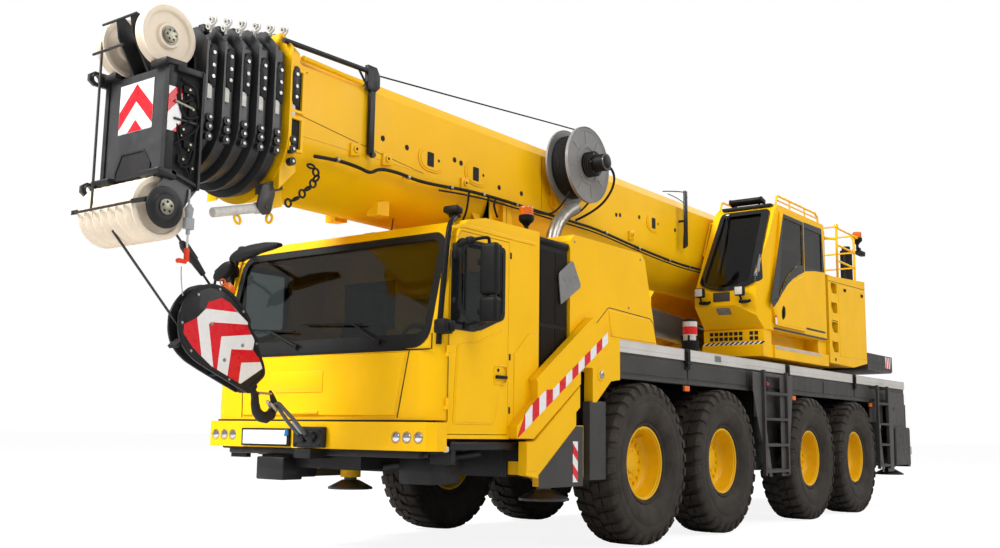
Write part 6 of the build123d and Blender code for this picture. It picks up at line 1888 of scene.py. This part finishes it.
def sweep(form, points, radii, across=1.0, rounds=20):
    # a bent bar of changing thickness in the machine's middle plane; points are (s, z)
    rings = []
    for index, (s, z) in enumerate(points):
        before, after = points[max(index - 1, 0)], points[min(index + 1, len(points) - 1)]
        run = Vector((0, after[0] - before[0], after[1] - before[1])).normalized()
        side = run.cross(Vector((1, 0, 0)))
        rings.append([Vector((0, s, z)) + a * side + across * b * Vector((1, 0, 0))
                      for a, b in around(rounds, radii[index])])
    form.loft(rings, crossed=True)


def makeHook():
    hookShape = Shape()
    line = [(0.0, -0.455), (0.0, -0.5), (-0.012, -0.535), (-0.045, -0.575), (-0.072, -0.625), (-0.07, -0.68),
            (-0.038, -0.722), (0.012, -0.738), (0.062, -0.722), (0.098, -0.685), (0.112, -0.64),
            (0.122, -0.6)]
    thick = [0.026, 0.027, 0.031, 0.035, 0.04, 0.043, 0.044, 0.042, 0.036, 0.028, 0.02, 0.011]
    sweep(hookShape, onBlockAll(line), thick, 0.78)
    hookShape.bar(blockSpot(0, 0, -0.478), blockSpot(0, 0, -0.448), 0.04, 28)
    hookShape.done("hook_bend", blackPaint, "hook", replaces=("hook",))
    latch = Shape()
    latch.prism(onBlockAll([(0.018, -0.54), (0.03, -0.525), (0.118, -0.615), (0.108, -0.628)]), -0.014, 0.014,
                bevel=0.002)
    latch.bar(blockSpot(-0.03, 0.014, -0.535), blockSpot(0.03, 0.014, -0.535), 0.007, 12)
    latch.done("hook_latch", zinc, "hook")
    # strap and shackle between the hook and the towing jaw
    metal = Shape()
    for shift in (-0.035, 0.03):
        points = [(0.0 + shift * 0.3, -3.345, 1.165), (shift * 0.5, -3.3, 1.205), (shift * 0.8, -3.24, 1.15),
                  (shift, -3.12, 1.045 + shift * 0.4), (shift, -3.02, 0.96), (shift, -2.975, 0.93)]
        hose(f"hold_strap_{'a' if shift < 0 else 'b'}", points, 0.015, strapGrey, "carrier")
    metal.ring((0.0, -3.335, 1.165), (0.4, 0.6, 0.7), 0.048, 0.012, 32, 10)
    metal.turned([(-0.07, 0), (-0.07, 0.016), (-0.045, 0.022), (0.045, 0.022), (0.07, 0.016), (0.07, 0)],
                 (0.0, -3.06, 1.01), (0, 1, -0.85), 18)
    metal.bar((0.0, -3.0, 0.935), (0.06, -2.965, 0.925), 0.014, 12)
    metal.done("hold_shackle", zinc, "carrier")
    tag = Shape()
    tag.prism([(-0.245, 0.945), (-0.235, 1.0), (-0.205, 0.99), (-0.2, 0.955)], -2.985, -2.975, 1)
    tag.done("plate_tag", tagBlue, "carrier")


reel = {"centre": (-0.1, 3.6), "near": 0.744, "far": 0.5, "turns": 13, "turnPitch": 0.0155}


def makeReel():
    body, centre = "boom", reel["centre"]
    flange, cable, motor, frameWork, bolts = Shape(), Shape(), Shape(), Shape(), Shape()
    near = (reel["near"], *centre)
    flange.turned([(0, 0.12), (0, 0.16), (0.006, 0.165), (0.006, 0.2), (0, 0.205), (0, 0.335), (0.004, 0.34),
                   (0.004, 0.362), (0.01, 0.368), (0.01, 0.377), (-0.022, 0.377), (-0.022, 0.368)], near,
                   (1, 0, 0), 72)
    far = (reel["far"], *centre)
    flange.turned(oblong(-0.004, 0.016, 0.1, 0.377), far, (1, 0, 0), 72)
    for (a, b), (c, d) in zip(around(8, 0.185), around(8, 1, 0.2)):
        bolts.bolt((0.749, centre[0] + a, centre[1] + b), (1, 0, 0), 0.009)
        start, end = [(reel["near"], centre[0] + reach * c,
                       centre[1] + reach * d) for reach in (0.215, 0.325)]
        flange.bar(start, end, 0.005, 8)
    flange.done("reel_flanges", reelGrey, body)
    profile = []
    for index in range(reel["turns"]):
        middle = 0.52 + reel["turnPitch"] * (index + 0.5)
        profile += [(middle - 0.007, 0.305), (middle - 0.004, 0.311), (middle, 0.313),
                    (middle + 0.004, 0.311), (middle + 0.007, 0.305)]
    cable.turned([(0.519, 0.25)] + profile + [(0.724, 0.25)], (0, *centre), (1, 0, 0), 64)
    cable.done("reel_cable_turns", rubber, body)
    motor.turned([(0, 0.125), (0.02, 0.125), (0.022, 0.112), (0.03, 0.112), (0.032, 0.125), (0.04, 0.125),
                  (0.042, 0.112), (0.05, 0.112), (0.052, 0.125), (0.06, 0.125), (0.062, 0.112), (0.07, 0.112),
                  (0.072, 0.125), (0.086, 0.125), (0.094, 0.115), (0.094, 0.084), (0.2, 0.084),
                  (0.212, 0.076), (0.224, 0.055), (0.224, 0)], near, (1, 0, 0), 44)
    for a, b in around(6, 0.101):
        bolts.bolt((0.836, centre[0] + a, centre[1] + b), (1, 0, 0), 0.007)
    for z in (3.56, 3.64):
        motor.block((0.86, centre[0] + 0.07, z - 0.018), (0.93, centre[0] + 0.115, z + 0.018), bevel=0.006)
    motor.done("reel_motor", blackPlastic, body)
    bolts.done("reel_bolts", zinc, body)
    # carrier arm and guide
    frameWork.prism([(-0.26, 3.3), (-0.3, 3.62), (-0.22, 3.72), (-0.02, 3.72), (0.06, 3.6), (0.02, 3.3)],
                    0.468, 0.486, bevel=0.004)
    frameWork.prism([(-0.3, 3.22), (-0.3, 3.3), (0.1, 3.3), (0.16, 3.22), (0.1, 3.16), (-0.22, 3.16)], 0.405,
                    0.432, bevel=0.004)
    for s in (-0.24, 0.02):
        frameWork.prism(oblong(s - 0.012, s + 0.012, 3.17, 3.44), 0.41, 0.47)
    frameWork.done("reel_bracket", yellowPaint, body)
    hose("reel_feed", [(0.9, 0.0, 3.6), (0.92, 0.12, 3.56), (0.86, 0.18, 3.38), (0.7, 0.12, 3.18),
                       (0.52, 0.02, 3.09)], 0.012, rubber, body)


reelGrey = finish("reelGrey", (0.21, 0.205, 0.2), 0.45, coat=0.05, tint=0.9, patch=3)
hubZinc = finish("hubZinc", (0.3, 0.285, 0.22), 0.36, metal=0.85, grain=900, bump=0.05, patch=18)
headPaint = finish("headPaint", (0.021, 0.021, 0.021), 0.42, coat=0.04, tint=0.8, patch=4)
switchGrey = finish("switchGrey", (0.34, 0.35, 0.36), 0.5, grain=700, bump=0.04, patch=14)
flagRed = finish("flagRed", (0.72, 0.045, 0.012), 0.45, grain=800, bump=0.03, patch=12)
strapGrey = finish("strapGrey", (0.11, 0.12, 0.13), 0.8, grain=420, bump=0.3, patch=14)
tagBlue = finish("tagBlue", (0.01, 0.12, 0.33), 0.5, grain=600, bump=0.03, patch=14)
makeSheaves()
makeHead()
makeHeadPlumbing()
makeHeadTube()
makeHookBlock()
makeHook()
makeReel()
print("head, block and reel made")


# studio
studio = {"floorHalf": 300, "floorGrey": 0.62, "glow": 1.42, "seenGlow": 0.62, "sky": 0.4,
          "target": (0, 0, 1.5),
          "lamps": (("key", (-6, -17, 14), 8, 6500), ("side", (12, -7, 14), 7, 950),
                    ("flank", (15, 6, 10), 8, 900), ("back", (3, 16, 13), 9, 1100))}


def makeFloor():
    # pale floor, which the camera sees a little brighter than it is
    material, tree, shader = newMaterial("studioFloor")
    grey = studio["floorGrey"]
    fill(shader, {"Base Color": (grey, grey, grey, 1), "Roughness": 0.9, "Specular IOR Level": 0.1})
    glow = tree.nodes.new("ShaderNodeEmission")
    fill(glow, {"Strength": studio["glow"]})
    rays = tree.nodes.new("ShaderNodeLightPath")
    mix = tree.nodes.new("ShaderNodeMixShader")
    fill(mix, {"Fac": 0})
    share = tree.nodes.new("ShaderNodeMath")
    share.operation = "MULTIPLY"
    fill(share, {1: studio["seenGlow"]})
    surface = tree.nodes["Material Output"].inputs["Surface"]
    for source, target in ((rays.outputs["Is Camera Ray"], share.inputs[0]),
                           (share.outputs["Value"], mix.inputs["Fac"]),
                           (shader.outputs["BSDF"], mix.inputs[1]),
                           (glow.outputs["Emission"], mix.inputs[2]), (mix.outputs["Shader"], surface)):
        tree.links.new(source, target)
    mesh = bpy.data.meshes.new("floor")
    half, ground = studio["floorHalf"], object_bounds()[0][2] - 0.001
    mesh.from_pydata([(-half, -half, ground), (half, -half, ground), (half, half, ground),
                      (-half, half, ground)], [], [(0, 1, 2, 3)])
    mesh.materials.append(material)
    floor = bpy.data.objects.new("floor", mesh)
    bpy.context.collection.objects.link(floor)


def makeWorld():
    # soft sky for the light, plain white for the camera
    world = bpy.data.worlds.new("studio")
    world.use_nodes = True
    bpy.context.scene.world = world
    nodes, links = world.node_tree.nodes, world.node_tree.links
    sky = nodes["Background"]
    fill(sky, {"Color": (1, 1, 1, 1), "Strength": studio["sky"]})
    seen = nodes.new("ShaderNodeBackground")
    fill(seen, {"Color": (1, 1, 1, 1), "Strength": 1.0})
    path = nodes.new("ShaderNodeLightPath")
    mixed = nodes.new("ShaderNodeMixShader")
    links.new(path.outputs["Is Camera Ray"], mixed.inputs["Fac"])
    links.new(sky.outputs["Background"], mixed.inputs[1])
    links.new(seen.outputs["Background"], mixed.inputs[2])
    links.new(mixed.outputs["Shader"], nodes["World Output"].inputs["Surface"])


def makeLights():
    for name, place, size, power in studio["lamps"]:
        lamp = bpy.data.lights.new(name, "AREA")
        lamp.size = size
        lamp.energy = power
        thing = bpy.data.objects.new(name, lamp)
        bpy.context.collection.objects.link(thing)
        thing.location = place
        thing.rotation_euler = (Vector(studio["target"]) - Vector(place)).to_track_quat("-Z", "Y").to_euler()


makeFloor()
makeWorld()
makeLights()
bpy.context.scene.view_settings.view_transform = "Standard"
print("studio made")
print("scene ready")
